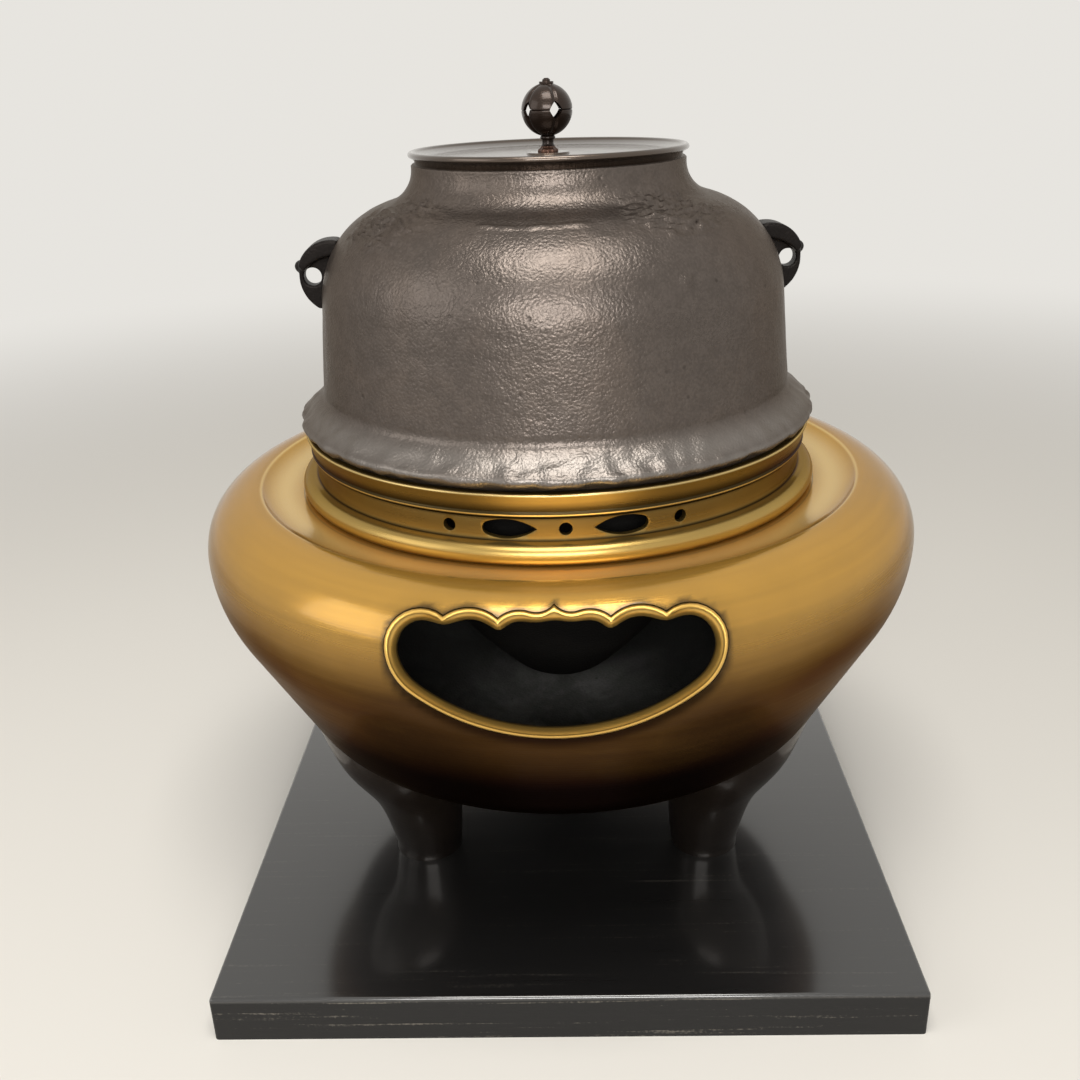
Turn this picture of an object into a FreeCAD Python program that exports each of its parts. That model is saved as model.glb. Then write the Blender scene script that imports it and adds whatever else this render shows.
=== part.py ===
"""Bronze tea brazier with a hanging iron kettle and its lid, on a square lacquered board.

Millimetres, +Z up. The origin lies on the underside of the board, on the axis of the brazier.
The fire window faces -Y. Brazier sizes count from the top of the board, kettle sizes from the
rim that carries the kettle, and lid sizes from the mouth of the kettle.
"""
import FreeCAD, Part
import math
import os

import Sketcher
from FreeCAD import Placement, Rotation, Vector

# Driving dimensions, in millimetres and degrees
SIZES = {
    # board
    "board_side": 288.0,
    "board_thickness": 21.0,
    "board_edge_round": 1.5,
    # bowl of the brazier
    "bowl_radius": 157.0,
    "belly_height": 152.0,
    "shoulder_round": 25.0,
    "belly_round": 61.0,
    "wall_lean": 28.5,
    "knuckle_height": 75.0,
    "knuckle_step": 8.0,
    "knuckle_round": 22.0,
    "underside_rise": 36.8,
    "underside_height": 30.5,
    "bowl_wall": 4.0,
    "ridge_width": 2.0,
    "ridge_drop": 1.8,
    "dish_drop": 4.4,
    # collar
    "band_radius": 106.5,
    "band_height": 9.4,
    "bead_round": 4.2,
    "bead_reach": 2.5,
    "rim_flare": 3.3,
    "rim_band_height": 9.8,
    "rim_band_lip": 1.1,
    "rim_edge_round": 0.9,
    "collar_wall": 7.0,
    "spigot_wall": 3.2,
    "spigot_depth": 6.5,
    "spigot_gap": 0.3,
    # vents in the collar
    "vent_turn": 2.3,
    "vent_hole_radius": 2.5,
    "vent_hole_spread": 23.8,
    "leaf_spread": 11.2,
    "leaf_length": 20.6,
    "leaf_width": 7.0,
    "leaf_end_round": 3.0,
    "leaf_side_round": 16.5,
    # fire window
    "window_tilt": 25.0,
    "window_set_back": 7.0,
    "window_rise": 3.0,
    "lobe_reach": 46.0,
    "lobe_rise": 6.0,
    "lobe_round": 13.0,
    "flank_round": 21.0,
    "scallop_reach": 29.2,
    "scallop_rise": 3.5,
    "scallop_round": 15.3,
    "ogee_reach": 12.0,
    "ogee_rise": 6.9,
    "ogee_round": 10.7,
    "peak_rise": 19.2,
    "peak_round": 8.0,
    "window_depth": 27.6,
    "window_rim_width": 3.4,
    "window_rim_bevel": 2.2,
    "window_rim_proud": 1.6,
    "window_rim_depth": 6.0,
    # feet
    "foot_circle": 79.0,
    "sole_radius": 15.3,
    "ankle_height": 7.0,
    "ankle_radius": 16.0,
    "shin_height": 30.0,
    "shin_radius": 20.0,
    "shin_out": 3.0,
    "calf_height": 55.0,
    "calf_radius": 27.6,
    "calf_out": 10.6,
    "foot_top_radius": 30.6,
    "foot_top_rise": 12.0,
    "foot_top_set_in": 2.0,
    # kettle body
    "kettle_wall": 4.0,
    "seat_set_in": 3.3,
    "skirt_overhang": 1.2,
    "skirt_edge_height": 4.8,
    "skirt_lip_height": 2.9,
    "skirt_lip_set_in": 1.0,
    "socket_wall": 5.7,
    "crease_height": 15.8,
    "crease_round": 5.0,
    "kettle_wall_height": 56.0,
    "kettle_taper": 5.15,
    "kettle_shoulder_round": 40.2,
    "kettle_shoulder_sweep": 72.2,
    "neck_radius": 56.3,
    "neck_round": 13.6,
    "neck_straight": 1.5,
    # kettle bottom
    "hang_clearance": 4.7,
    "joint_gap": 0.2,
    "socket_height": 9.5,
    "bottom_depth": 130.0,
    "bottom_wall": 3.0,
    "bottom_top": 2.0,
    "tip_round": 36.0,
    "tip_sweep": 45.0,
    "side_round": 264.0,
    # singing irons
    "iron_radius": 4.5,
    "iron_circle": 14.0,
    "iron_rise": 7.5,
    # lugs
    "lug_turn": 4.0,
    "eye_radius": 3.5,
    "eye_reach": 3.4,
    "eye_rise": 7.1,
    "lug_thickness": 8.0,
    "hood_thickness": 13.0,
    "hood_depth": 4.6,
    "hood_round": 24.0,
    "hood_root_reach": 14.0,
    "hood_root_rise": 16.0,
    "hood_tip_reach": 4.6,
    "hood_tip_rise": 5.4,
    "arm_round": 15.6,
    "arm_tip_set_in": 1.6,
    "arm_tip_drop": 13.6,
    "lug_root_depth": 7.0,
    "nub_radius": 2.6,
    # lid
    "lid_overhang": 1.1,
    "lid_plate_thickness": 1.9,
    "lid_bead_height": 5.0,
    "lid_bead_width": 3.4,
    "lid_bead_round": 1.9,
    "lid_undercut": 3.0,
    "lid_gap": 0.9,
    "lid_spigot_wall": 2.4,
    "lid_spigot_depth": 4.0,
    # knob
    "pin_radius": 1.2,
    "pin_gap": 0.1,
    "pin_head_radius": 1.6,
    "pin_head_height": 1.3,
    "pin_tail": 2.4,
    "base_disc_radius": 9.0,
    "base_disc_height": 0.8,
    "seat_radius": 4.3,
    "seat_top_radius": 3.0,
    "seat_height": 2.4,
    "neck_stem_radius": 2.5,
    "neck_stem_height": 2.6,
    "neck_collar_radius": 3.1,
    "neck_collar_height": 1.3,
    "ball_radius": 10.4,
    "ball_half_height": 9.8,
    "ball_wall": 1.4,
    "ball_hole_width": 6.0,
    "ball_hole_height": 7.6,
    "ball_groove_width": 1.1,
    "ball_groove_depth": 0.6,
    "ball_turn": 22.0,
    "washer_radius": 2.9,
    "washer_height": 0.8,
    "clench_radius": 4.0,
    "clench_height": 0.8,
}

FEET = {"foot_front_left": 214.0, "foot_front_right": 326.0, "foot_rear": 90.0}
BALL_LOBES = 5
IRON_COUNT = 5
FULL_TURN = 360.0
HALF_TURN = 180.0
QUARTER_TURN = 90.0
WINDOW_SPAN = 60.0
CLOSE_TO_ZERO = 1e-9
CLOSE = 1e-4

doc = FreeCAD.newDocument("tea_brazier")
sheet = doc.addObject("Spreadsheet::Sheet", "sizes")


class Size:
    """A number together with the expression that ties it to the sheet."""

    def __init__(self, number, words):
        self.number = float(number)
        self.words = words

    def __add__(self, other):
        other = as_size(other)
        return Size(self.number + other.number, f"({self.words} + {other.words})")

    def __sub__(self, other):
        other = as_size(other)
        return Size(self.number - other.number, f"({self.words} - {other.words})")

    def __mul__(self, other):
        other = as_size(other)
        return Size(self.number * other.number, f"({self.words} * {other.words})")

    def __truediv__(self, other):
        other = as_size(other)
        return Size(self.number / other.number, f"({self.words} / {other.words})")

    def __neg__(self):
        return Size(-self.number, f"(0 - {self.words})")


def as_size(value):
    """Take a plain number as a size of its own."""
    if isinstance(value, Size):
        return value
    return Size(value, f"{value}")


def sine(angle):
    return Size(math.sin(math.radians(angle.number)), f"sin({angle.words})")


def cosine(angle):
    return Size(math.cos(math.radians(angle.number)), f"cos({angle.words})")


def tangent(angle):
    return Size(math.tan(math.radians(angle.number)), f"tan({angle.words})")


def root(value):
    return Size(math.sqrt(value.number), f"sqrt({value.words})")


def fill_sheet():
    """Write every driving dimension to the sheet and return the sizes that read it."""
    for row, (alias, number) in enumerate(SIZES.items(), start=1):
        sheet.set(f"A{row}", alias)
        sheet.set(f"B{row}", str(number))
        sheet.setAlias(f"B{row}", alias)
    doc.recompute()
    return {alias: Size(number, f"sizes.{alias}") for alias, number in SIZES.items()}


S = fill_sheet()
ZERO = Size(0.0, "0")


class Bend:
    """An arc from one corner to the next: its radius, and the side of the path it swells to."""

    def __init__(self, radius, to_left=False):
        self.radius = radius
        self.to_left = to_left


def origin_plane(body, role):
    return next(feature for feature in body.Origin.OriginFeatures if feature.Role == role)


def new_body(name):
    body = doc.addObject("PartDesign::Body", name)
    body.Label = name
    return body


def new_sketch(body, name, role="XZ_Plane", shift=(ZERO, ZERO, ZERO), axis=Vector(1, 0, 0), turn=ZERO):
    """Sketch on an origin plane of its body, moved and turned in that plane's own axes."""
    sketch = body.newObject("Sketcher::SketchObject", name)
    sketch.AttachmentSupport = [(origin_plane(body, role), "")]
    sketch.MapMode = "FlatFace"
    sketch.AttachmentOffset = Placement(Vector(*(part.number for part in shift)), Rotation(axis, turn.number))
    for letter, part in zip("xyz", shift):
        if part is not ZERO:
            sketch.setExpression(f".AttachmentOffset.Base.{letter}", part.words)
    return sketch


def bind(sketch, constraints):
    """Add constraints to a sketch and tie each one that has a size to the sheet."""
    for constraint, size in constraints:
        index = sketch.addConstraint(constraint)
        if size is not None:
            sketch.setExpression(f"Constraints[{index}]", size.words)


def hold_point(geometry, position, x, y):
    """Constraints that hold one point of a sketch at its two coordinates."""
    held = []
    for name, value, axis in (("DistanceX", x, -2), ("DistanceY", y, -1)):
        if abs(value.number) < CLOSE_TO_ZERO:
            held.append((Sketcher.Constraint("PointOnObject", geometry, position, axis), None))
        else:
            held.append((Sketcher.Constraint(name, -1, 1, geometry, position, value.number), value))
    return held


def arc_middle(start, end, bend):
    """Middle point of the shorter arc between two points."""
    chord = end - start
    half = chord.Length / 2
    rise = bend.radius.number - math.sqrt(max(bend.radius.number**2 - half**2, 0.0))
    side = 1 if bend.to_left else -1
    normal = Vector(-chord.y, chord.x, 0).normalize() * side
    return (start + end) / 2 + normal * rise


def draw_outline(sketch, corners):
    """Draw a closed outline of straight edges and arcs, every corner held at its coordinates.

    Each corner is (x, y) or (x, y, bend); the bend shapes the edge that leaves the corner.
    """
    first = sketch.GeometryCount
    points = [Vector(corner[0].number, corner[1].number, 0) for corner in corners]
    constraints = []
    ends = []
    for index, corner in enumerate(corners):
        start, end = points[index], points[(index + 1) % len(points)]
        bend = corner[2] if len(corner) > 2 else None
        geometry = first + index
        if bend is None:
            sketch.addGeometry(Part.LineSegment(start, end), False)
            ends.append((1, 2))
        else:
            middle = arc_middle(start, end, bend)
            if bend.to_left:
                sketch.addGeometry(Part.Arc(end, middle, start), False)
                ends.append((2, 1))
            else:
                sketch.addGeometry(Part.Arc(start, middle, end), False)
                ends.append((1, 2))
            radius = Sketcher.Constraint("Radius", geometry, bend.radius.number)
            constraints.append((radius, bend.radius))
        constraints += hold_point(geometry, ends[-1][0], corner[0], corner[1])
    for index in range(len(corners)):
        following = (index + 1) % len(corners)
        joint = Sketcher.Constraint("Coincident", first + index, ends[index][1], first + following, ends[following][0])
        constraints.append((joint, None))
    bind(sketch, constraints)


def draw_circle(sketch, x, y, radius):
    """Draw one circle held at its centre and radius."""
    geometry = sketch.addGeometry(Part.Circle(Vector(x.number, y.number, 0), Vector(0, 0, 1), radius.number), False)
    constraints = hold_point(geometry, 3, x, y)
    constraints.append((Sketcher.Constraint("Radius", geometry, radius.number), radius))
    bind(sketch, constraints)


def revolve(body, name, corners):
    """Turn an outline of (radius, height) corners about the axis."""
    sketch = new_sketch(body, name + "_outline")
    draw_outline(sketch, corners)
    turned = body.newObject("PartDesign::Revolution", name)
    turned.Profile = sketch
    turned.ReferenceAxis = (sketch, ["V_Axis"])
    turned.Angle = FULL_TURN
    body.Tip = turned
    return turned


def pad(body, name, sketch, length, midplane=True):
    feature = body.newObject("PartDesign::Pad", name)
    feature.Profile = sketch
    feature.Midplane = midplane
    feature.setExpression("Length", length.words)
    body.Tip = feature
    return feature


def pocket(body, name, sketch, length):
    """Cut a sketch's outline into the body, against the sketch's normal, and check that it cut."""
    doc.recompute()
    before = body.Shape.Volume
    feature = body.newObject("PartDesign::Pocket", name)
    feature.Profile = sketch
    feature.setExpression("Length", length.words)
    body.Tip = feature
    doc.recompute()
    if body.Shape.Volume >= before:
        raise RuntimeError(f"{name} cut nothing")
    return feature


def polar(body, name, feature, count):
    pattern = body.newObject("PartDesign::PolarPattern", name)
    pattern.Originals = [feature]
    pattern.Axis = (origin_axis(body, "Z_Axis"), [""])
    pattern.Angle = FULL_TURN
    pattern.Occurrences = count
    body.Tip = pattern
    return pattern


def origin_axis(body, role):
    return next(feature for feature in body.Origin.OriginFeatures if feature.Role == role)


def raise_to(item, height, turn=0.0):
    """Stand a piece at a height on the axis, turned about it."""
    item.Placement = Placement(Vector(0, 0, height.number), Rotation(Vector(0, 0, 1), turn))
    item.setExpression(".Placement.Base.z", height.words)


def join(kind, name, base, tool):
    """Boolean of two objects: Part::Cut or Part::Common."""
    result = doc.addObject(kind, name)
    result.Label = name
    result.Base = base
    result.Tool = tool
    return result


# Heights and radii that several pieces share
brazier_floor = S["board_thickness"]
ridge_radius = S["bowl_radius"] - S["shoulder_round"]
ridge_height = S["belly_height"] + S["shoulder_round"]
belly_centre = S["bowl_radius"] - S["belly_round"]
dish_height = ridge_height - S["dish_drop"]
bead_centre = S["band_radius"] + S["bead_reach"]
band_foot = dish_height + S["bead_round"] * 2
band_top = band_foot + S["band_height"]
rim_height = band_top + S["rim_band_height"]
rim_radius = S["band_radius"] + S["rim_flare"]
collar_bore = S["band_radius"] - S["collar_wall"]
mouth_radius = collar_bore + S["spigot_wall"] + S["spigot_gap"]
kettle_floor = brazier_floor + rim_height
bottom_radius = collar_bore - S["hang_clearance"]
skirt_bore = bottom_radius + S["joint_gap"]
skirt_radius = rim_radius + S["skirt_overhang"]
crease_radius = skirt_bore + S["socket_wall"]


def belly_point(offset, sweep):
    """Point of the belly arc, a sweep below the widest ring, on a surface offset outwards."""
    radius = S["belly_round"] + offset
    return belly_centre + radius * cosine(sweep), S["belly_height"] - radius * sine(sweep)


def wall_point(offset, height):
    """Point of the straight lower wall at a height, on a surface offset outwards."""
    top_radius, top_height = belly_point(offset, S["wall_lean"])
    return top_radius - (top_height - height) * tangent(S["wall_lean"]), height


base_radius = wall_point(ZERO, S["knuckle_height"])[0] - S["knuckle_step"]
underside_round = (base_radius * base_radius / S["underside_rise"] + S["underside_rise"]) / 2


def underside_point(offset, radius):
    """Point of the domed underside at a radius, on a surface offset outwards."""
    dome = underside_round + offset
    centre = S["underside_height"] + underside_round
    return radius, centre - root(dome * dome - radius * radius)


def bowl_face(offset):
    """Corners of the bowl's wall from the axis underneath up to the ridge, offset outwards."""
    knuckle = wall_point(offset, S["knuckle_height"])
    base = underside_point(offset, knuckle[0] - S["knuckle_step"])
    belly = belly_point(offset, S["wall_lean"])
    return [
        (ZERO, S["underside_height"] - offset, Bend(underside_round + offset)),
        (*base, Bend(S["knuckle_round"] + offset)),
        knuckle,
        (*belly, Bend(S["belly_round"] + offset)),
        (S["bowl_radius"] + offset, S["belly_height"], Bend(S["shoulder_round"] + offset)),
        (ridge_radius, ridge_height + offset),
    ]


def turned_back(corners):
    """The same corners in the other direction, each bend kept on its own edge."""
    bends = [corner[2] if len(corner) > 2 else None for corner in corners]
    backwards = []
    for index in range(len(corners) - 1, -1, -1):
        bend = bends[index - 1] if index > 0 else None
        place = corners[index][:2]
        backwards.append((*place, Bend(bend.radius, not bend.to_left)) if bend else place)
    return backwards


def make_board():
    """Square board with its upper edges eased."""
    body = new_body("board")
    sketch = new_sketch(body, "board_outline", "XY_Plane")
    half = S["board_side"] / 2
    draw_outline(sketch, [(-half, -half), (half, -half), (half, half), (-half, half)])
    slab = pad(body, "board_slab", sketch, S["board_thickness"], midplane=False)
    doc.recompute()
    top = S["board_thickness"].number
    upper = [
        f"Edge{index}"
        for index, edge in enumerate(slab.Shape.Edges, start=1)
        if all(abs(vertex.Z - top) < CLOSE_TO_ZERO for vertex in edge.Vertexes)
    ]
    eased = body.newObject("PartDesign::Fillet", "board_eased_edges")
    eased.Base = (slab, upper)
    eased.setExpression("Radius", S["board_edge_round"].words)
    body.Tip = eased
    return body


def window_frame():
    """Shift and tilt of the window's own plane, which stands clear of the bowl."""
    stand = S["shoulder_round"]
    rise = S["belly_height"] + S["window_rise"] + stand * sine(S["window_tilt"])
    reach = S["bowl_radius"] - S["window_set_back"] + stand * cosine(S["window_tilt"])
    return (ZERO, rise, reach), -S["window_tilt"]


def window_sketch(body, name):
    shift, tilt = window_frame()
    sketch = new_sketch(body, name, shift=shift, turn=tilt)
    sketch.setExpression(".AttachmentOffset.Rotation.Angle", tilt.words)
    return sketch


def crossing(first, second):
    """Upper crossing point of two circles given as (x, y, radius)."""
    x1, y1, r1 = first
    x2, y2, r2 = second
    dx, dy = x2 - x1, y2 - y1
    gap = root(dx * dx + dy * dy)
    along = (r1 * r1 - r2 * r2 + gap * gap) / (gap * 2)
    across = root(r1 * r1 - along * along)
    return x1 + (dx * along + dy * across) / gap, y1 + (dy * along - dx * across) / gap


def touching(first, second, share):
    """Point on the line of two centres, a radius away from the first."""
    x1, y1, r1 = first
    x2, y2, r2 = second
    gap = root((x2 - x1) * (x2 - x1) + (y2 - y1) * (y2 - y1))
    return x1 + (x2 - x1) * share / gap, y1 + (y2 - y1) * share / gap


def window_outline(inset):
    """Scalloped outline of the fire window, moved inwards by an inset.

    Three scallops on each side rise to an ogee peak in the middle. Below the end lobes two
    flanks of a larger round run into one long arc that closes the outline.
    """
    lobe = (S["lobe_reach"], S["lobe_rise"], S["lobe_round"] - inset)
    scallop = (S["scallop_reach"], S["scallop_rise"], S["scallop_round"] - inset)
    ogee = (S["ogee_reach"], S["ogee_rise"], S["ogee_round"] - inset)
    # The peak's hollow arc touches the ogee and runs up to the middle line
    reach = S["ogee_round"] + S["peak_round"]
    lift = S["peak_rise"] - S["ogee_rise"]
    span = root(lift * lift + S["ogee_reach"] * S["ogee_reach"])
    along = (reach * reach - S["peak_round"] * S["peak_round"] + span * span) / (span * 2)
    across = root(reach * reach - along * along)
    hollow_x = S["ogee_reach"] + (lift * across - S["ogee_reach"] * along) / span
    hollow_y = S["ogee_rise"] + (S["ogee_reach"] * across + lift * along) / span
    hollow = (hollow_x, hollow_y, S["peak_round"] + inset)
    peak = (ZERO, hollow_y - root(hollow[2] * hollow[2] - hollow_x * hollow_x))
    # The long arc below touches the flanks, which go on from the sides of the end lobes
    flank = (lobe[0] + S["lobe_round"] - S["flank_round"], lobe[1], S["flank_round"] - inset)
    drop = S["window_depth"] - S["flank_round"]
    sill_y = (flank[0] * flank[0] + flank[1] * flank[1] - drop * drop) / ((drop + flank[1]) * 2)
    sill_radius = sill_y + S["window_depth"] - inset
    sill = (ZERO, sill_y, sill_radius)
    cusp_outer = crossing(lobe, scallop)
    cusp_inner = crossing(scallop, ogee)
    ogee_end = touching(ogee, hollow, ogee[2])
    flank_end = touching(sill, flank, sill_radius)
    lobe_side = (lobe[0] + lobe[2], lobe[1])
    right = [
        (*flank_end, Bend(flank[2])),
        (*lobe_side, Bend(lobe[2])),
        (*cusp_outer, Bend(scallop[2])),
        (*cusp_inner, Bend(ogee[2])),
        (*ogee_end, Bend(hollow[2], to_left=True)),
        peak,
    ]
    left = [(-x, y) for x, y in (corner[:2] for corner in right[:-1])]
    left.reverse()
    bends = [corner[2] for corner in right[:-1]]
    bends.reverse()
    mirrored = [(*place, bend) for place, bend in zip(left, bends[1:] + [Bend(sill_radius)])]
    return right[:-1] + [(*peak, bends[0])] + mirrored


def cut_window(body, name):
    """Cut the hole of the fire window through the wall of a body."""
    hole = window_sketch(body, name + "_outline")
    draw_outline(hole, window_outline(ZERO))
    pocket(body, name, hole, S["shoulder_round"] * 2 + S["bowl_wall"] * 3)


def make_bowl():
    """Lower bowl, from the domed underside up to the widest ring."""
    body = new_body("brazier_bowl")
    outside, inside = bowl_face(ZERO), bowl_face(-S["bowl_wall"])
    revolve(body, "bowl_shell", outside[:4] + [outside[4][:2]] + turned_back(inside[:5]))
    cut_window(body, "bowl_window")
    raise_to(body, brazier_floor)
    return body


def make_shoulder():
    """Rounded shoulder with its dished top, from the widest ring up to the mouth."""
    body = new_body("brazier_shoulder")
    wall = S["bowl_wall"]
    dish = [
        (ridge_radius - S["ridge_width"], ridge_height - S["ridge_drop"]),
        (bead_centre + S["bead_round"], dish_height),
        (mouth_radius, dish_height),
        (mouth_radius, dish_height - wall),
        (ridge_radius - wall, dish_height - wall),
    ]
    revolve(body, "shoulder_shell", bowl_face(ZERO)[4:] + dish + turned_back(bowl_face(-wall)[4:]))
    cut_window(body, "shoulder_window")
    raise_to(body, brazier_floor)
    return body


def make_bowl_block():
    """The bowl's outer form as a full block, which shapes the tops of the feet."""
    body = new_body("bowl_block")
    revolve(body, "bowl_block_turned", bowl_face(ZERO) + [(ZERO, ridge_height)])
    raise_to(body, brazier_floor)
    return body


def make_window_rim():
    """Raised frame of the fire window, which follows the bowl's wall and slopes into the opening."""
    body = new_body("fire_window_rim")
    sketch = new_sketch(body, "rim_wall_outline", axis=Vector(0, 1, 0), turn=as_size(-QUARTER_TURN))
    outside = bowl_face(S["window_rim_proud"])[2:]
    inside = bowl_face(-S["window_rim_depth"])[2:]
    draw_outline(sketch, outside + turned_back(inside))
    wall = body.newObject("PartDesign::Revolution", "rim_wall")
    wall.Profile = sketch
    wall.ReferenceAxis = (sketch, ["V_Axis"])
    wall.Angle = WINDOW_SPAN
    wall.Midplane = True
    body.Tip = wall
    apron = S["lobe_reach"] * 2
    around = window_sketch(body, "rim_around_outline")
    draw_outline(around, [(-apron, -apron), (apron, -apron), (apron, apron), (-apron, apron)])
    draw_outline(around, window_outline(ZERO))
    outer = pocket(body, "rim_around", around, S["bowl_radius"])
    kept = [edge.CenterOfMass for edge in outer.Shape.Edges]
    opening = window_sketch(body, "rim_opening_outline")
    draw_outline(opening, window_outline(S["window_rim_width"]))
    inner = pocket(body, "rim_opening", opening, S["bowl_radius"])
    bevel = body.newObject("PartDesign::Chamfer", "rim_bevel")
    bevel.Base = (inner, mouth_edges(inner.Shape, kept))
    bevel.setExpression("Size", S["window_rim_bevel"].words)
    body.Tip = bevel
    raise_to(body, brazier_floor)
    return body


def mouth_edges(shape, kept):
    """Names of the edges round the rim's opening that lie on its proud face."""
    rounds = [S[name].number + S["window_rim_proud"].number for name in ("shoulder_round", "belly_round")]
    proud = [face for face in shape.Faces if getattr(face.Surface, "MinorRadius", None) is not None]
    proud = [face for face in proud if min(abs(face.Surface.MinorRadius - size) for size in rounds) < CLOSE]
    names = []
    for index, edge in enumerate(shape.Edges, start=1):
        new = all((edge.CenterOfMass - centre).Length > CLOSE for centre in kept)
        on_proud = sum(any(edge.isSame(other) for other in face.Edges) for face in proud)
        if new and on_proud == 1:
            names.append(f"Edge{index}")
    return names


def leaf_outline(mirror):
    """Pointed leaf: a round end away from the middle and a point towards it."""
    side = -1 if mirror else 1
    half = S["leaf_length"] / 2
    tip = (-half * side, ZERO)
    upper = ((half - S["leaf_end_round"]) * side, S["leaf_end_round"])
    lower = ((half - S["leaf_end_round"]) * side, -S["leaf_end_round"])
    nose = (half * side, ZERO)
    end, flank = Bend(S["leaf_end_round"], mirror), Bend(S["leaf_side_round"], mirror)
    return [(*tip, flank), (*lower, end), (*nose, end), (*upper, flank)]


def make_collar():
    """Ring that stands on the dish: half-round bead, vented band and flared rim."""
    body = new_body("brazier_collar")
    spigot = collar_bore + S["spigot_wall"]
    lip = S["band_radius"] + S["rim_band_lip"]
    edge = S["rim_edge_round"]
    revolve(body, "collar_ring", [
        (collar_bore, dish_height - S["spigot_depth"]),
        (spigot, dish_height - S["spigot_depth"]),
        (spigot, dish_height),
        (bead_centre, dish_height, Bend(S["bead_round"])),
        (bead_centre + S["bead_round"], dish_height + S["bead_round"], Bend(S["bead_round"])),
        (bead_centre, band_foot),
        (S["band_radius"], band_foot),
        (S["band_radius"], band_top),
        (lip, band_top + edge),
        (rim_radius, rim_height - edge, Bend(edge)),
        (rim_radius - edge, rim_height),
        (collar_bore, rim_height),
    ])
    middle = band_foot + S["band_height"] / 2
    vents = {
        "vent_middle": ("hole", ZERO),
        "vent_left": ("hole", -S["vent_hole_spread"]),
        "vent_right": ("hole", S["vent_hole_spread"]),
        "leaf_left": ("leaf", -S["leaf_spread"]),
        "leaf_right": ("leaf", S["leaf_spread"]),
    }
    for name, (kind, spread) in vents.items():
        bearing = spread + S["vent_turn"]
        reach = rim_radius
        shift = (reach * sine(bearing), middle, reach * cosine(bearing))
        sketch = new_sketch(body, name + "_outline", shift=shift, axis=Vector(0, 1, 0), turn=bearing)
        sketch.setExpression(".AttachmentOffset.Rotation.Angle", bearing.words)
        if kind == "hole":
            draw_circle(sketch, ZERO, ZERO, S["vent_hole_radius"])
        else:
            draw_outline(sketch, leaf_outline(mirror=spread.number < 0))
        pocket(body, name, sketch, S["collar_wall"] * 2)
    raise_to(body, brazier_floor)
    return body


def make_foot(name, bearing, block):
    """Horn-shaped foot, lofted from the sole up and cut by the bowl's outer form."""
    body = new_body(name + "_horn")
    top_height = S["knuckle_height"] + S["foot_top_rise"]
    top_out = wall_point(ZERO, top_height)[0] - S["foot_top_set_in"] - S["foot_top_radius"]
    rings = [
        (S["foot_circle"], ZERO, S["sole_radius"]),
        (S["foot_circle"], S["ankle_height"], S["ankle_radius"]),
        (S["foot_circle"] + S["shin_out"], S["shin_height"], S["shin_radius"]),
        (S["foot_circle"] + S["calf_out"], S["calf_height"], S["calf_radius"]),
        (top_out, top_height, S["foot_top_radius"]),
    ]
    sketches = []
    for index, (out, height, radius) in enumerate(rings):
        sketch = new_sketch(body, f"{name}_ring_{index}", "XY_Plane", shift=(ZERO, ZERO, height))
        draw_circle(sketch, out, ZERO, radius)
        sketches.append(sketch)
    horn = body.newObject("PartDesign::AdditiveLoft", name + "_loft")
    horn.Profile = sketches[0]
    horn.Sections = sketches[1:]
    body.Tip = horn
    raise_to(body, brazier_floor, bearing)
    return join("Part::Cut", name, body, block)


def kettle_shoulder(offset, sweep):
    """Point of the kettle's shoulder arc at a sweep above the level, offset outwards."""
    rise = S["kettle_wall_height"] - S["crease_height"]
    start = crease_radius - rise * tangent(S["kettle_taper"])
    centre_out = start - S["kettle_shoulder_round"] * cosine(S["kettle_taper"])
    centre_up = S["kettle_wall_height"] - S["kettle_shoulder_round"] * sine(S["kettle_taper"])
    radius = S["kettle_shoulder_round"] + offset
    return centre_out + radius * cosine(sweep), centre_up + radius * sine(sweep)


def kettle_neck():
    """Foot and head of the hollow arc between the shoulder and the neck."""
    sweep = S["kettle_shoulder_sweep"]
    out, up = kettle_shoulder(ZERO, sweep)
    run = (out - S["neck_radius"] - S["neck_round"] + S["neck_round"] * cosine(sweep)) / sine(sweep)
    foot = (out - run * sine(sweep), up + run * cosine(sweep))
    head = (S["neck_radius"], foot[1] + S["neck_round"] * sine(sweep))
    return foot, head


neck_foot, neck_head = kettle_neck()
mouth_height = neck_head[1] + S["neck_straight"]
mouth_bore = S["neck_radius"] - S["kettle_wall"]
lid_floor = kettle_floor + mouth_height


def kettle_face():
    """Corners of the kettle's outside from the seat of the skirt up to the mouth."""
    crease_top = S["crease_height"] + S["crease_round"] / 2
    return [
        (rim_radius - S["seat_set_in"], ZERO),
        (skirt_radius - S["skirt_lip_set_in"], S["skirt_lip_height"]),
        (skirt_radius, S["skirt_edge_height"]),
        (crease_radius + S["crease_round"] / 3, S["crease_height"] - S["crease_round"] / 2,
         Bend(S["crease_round"], to_left=True)),
        (crease_radius - (crease_top - S["crease_height"]) * tangent(S["kettle_taper"]), crease_top),
        (*kettle_shoulder(ZERO, S["kettle_taper"]), Bend(S["kettle_shoulder_round"])),
        kettle_shoulder(ZERO, S["kettle_shoulder_sweep"]),
        (*neck_foot, Bend(S["neck_round"], to_left=True)),
        neck_head,
        (S["neck_radius"], mouth_height),
    ]


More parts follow.
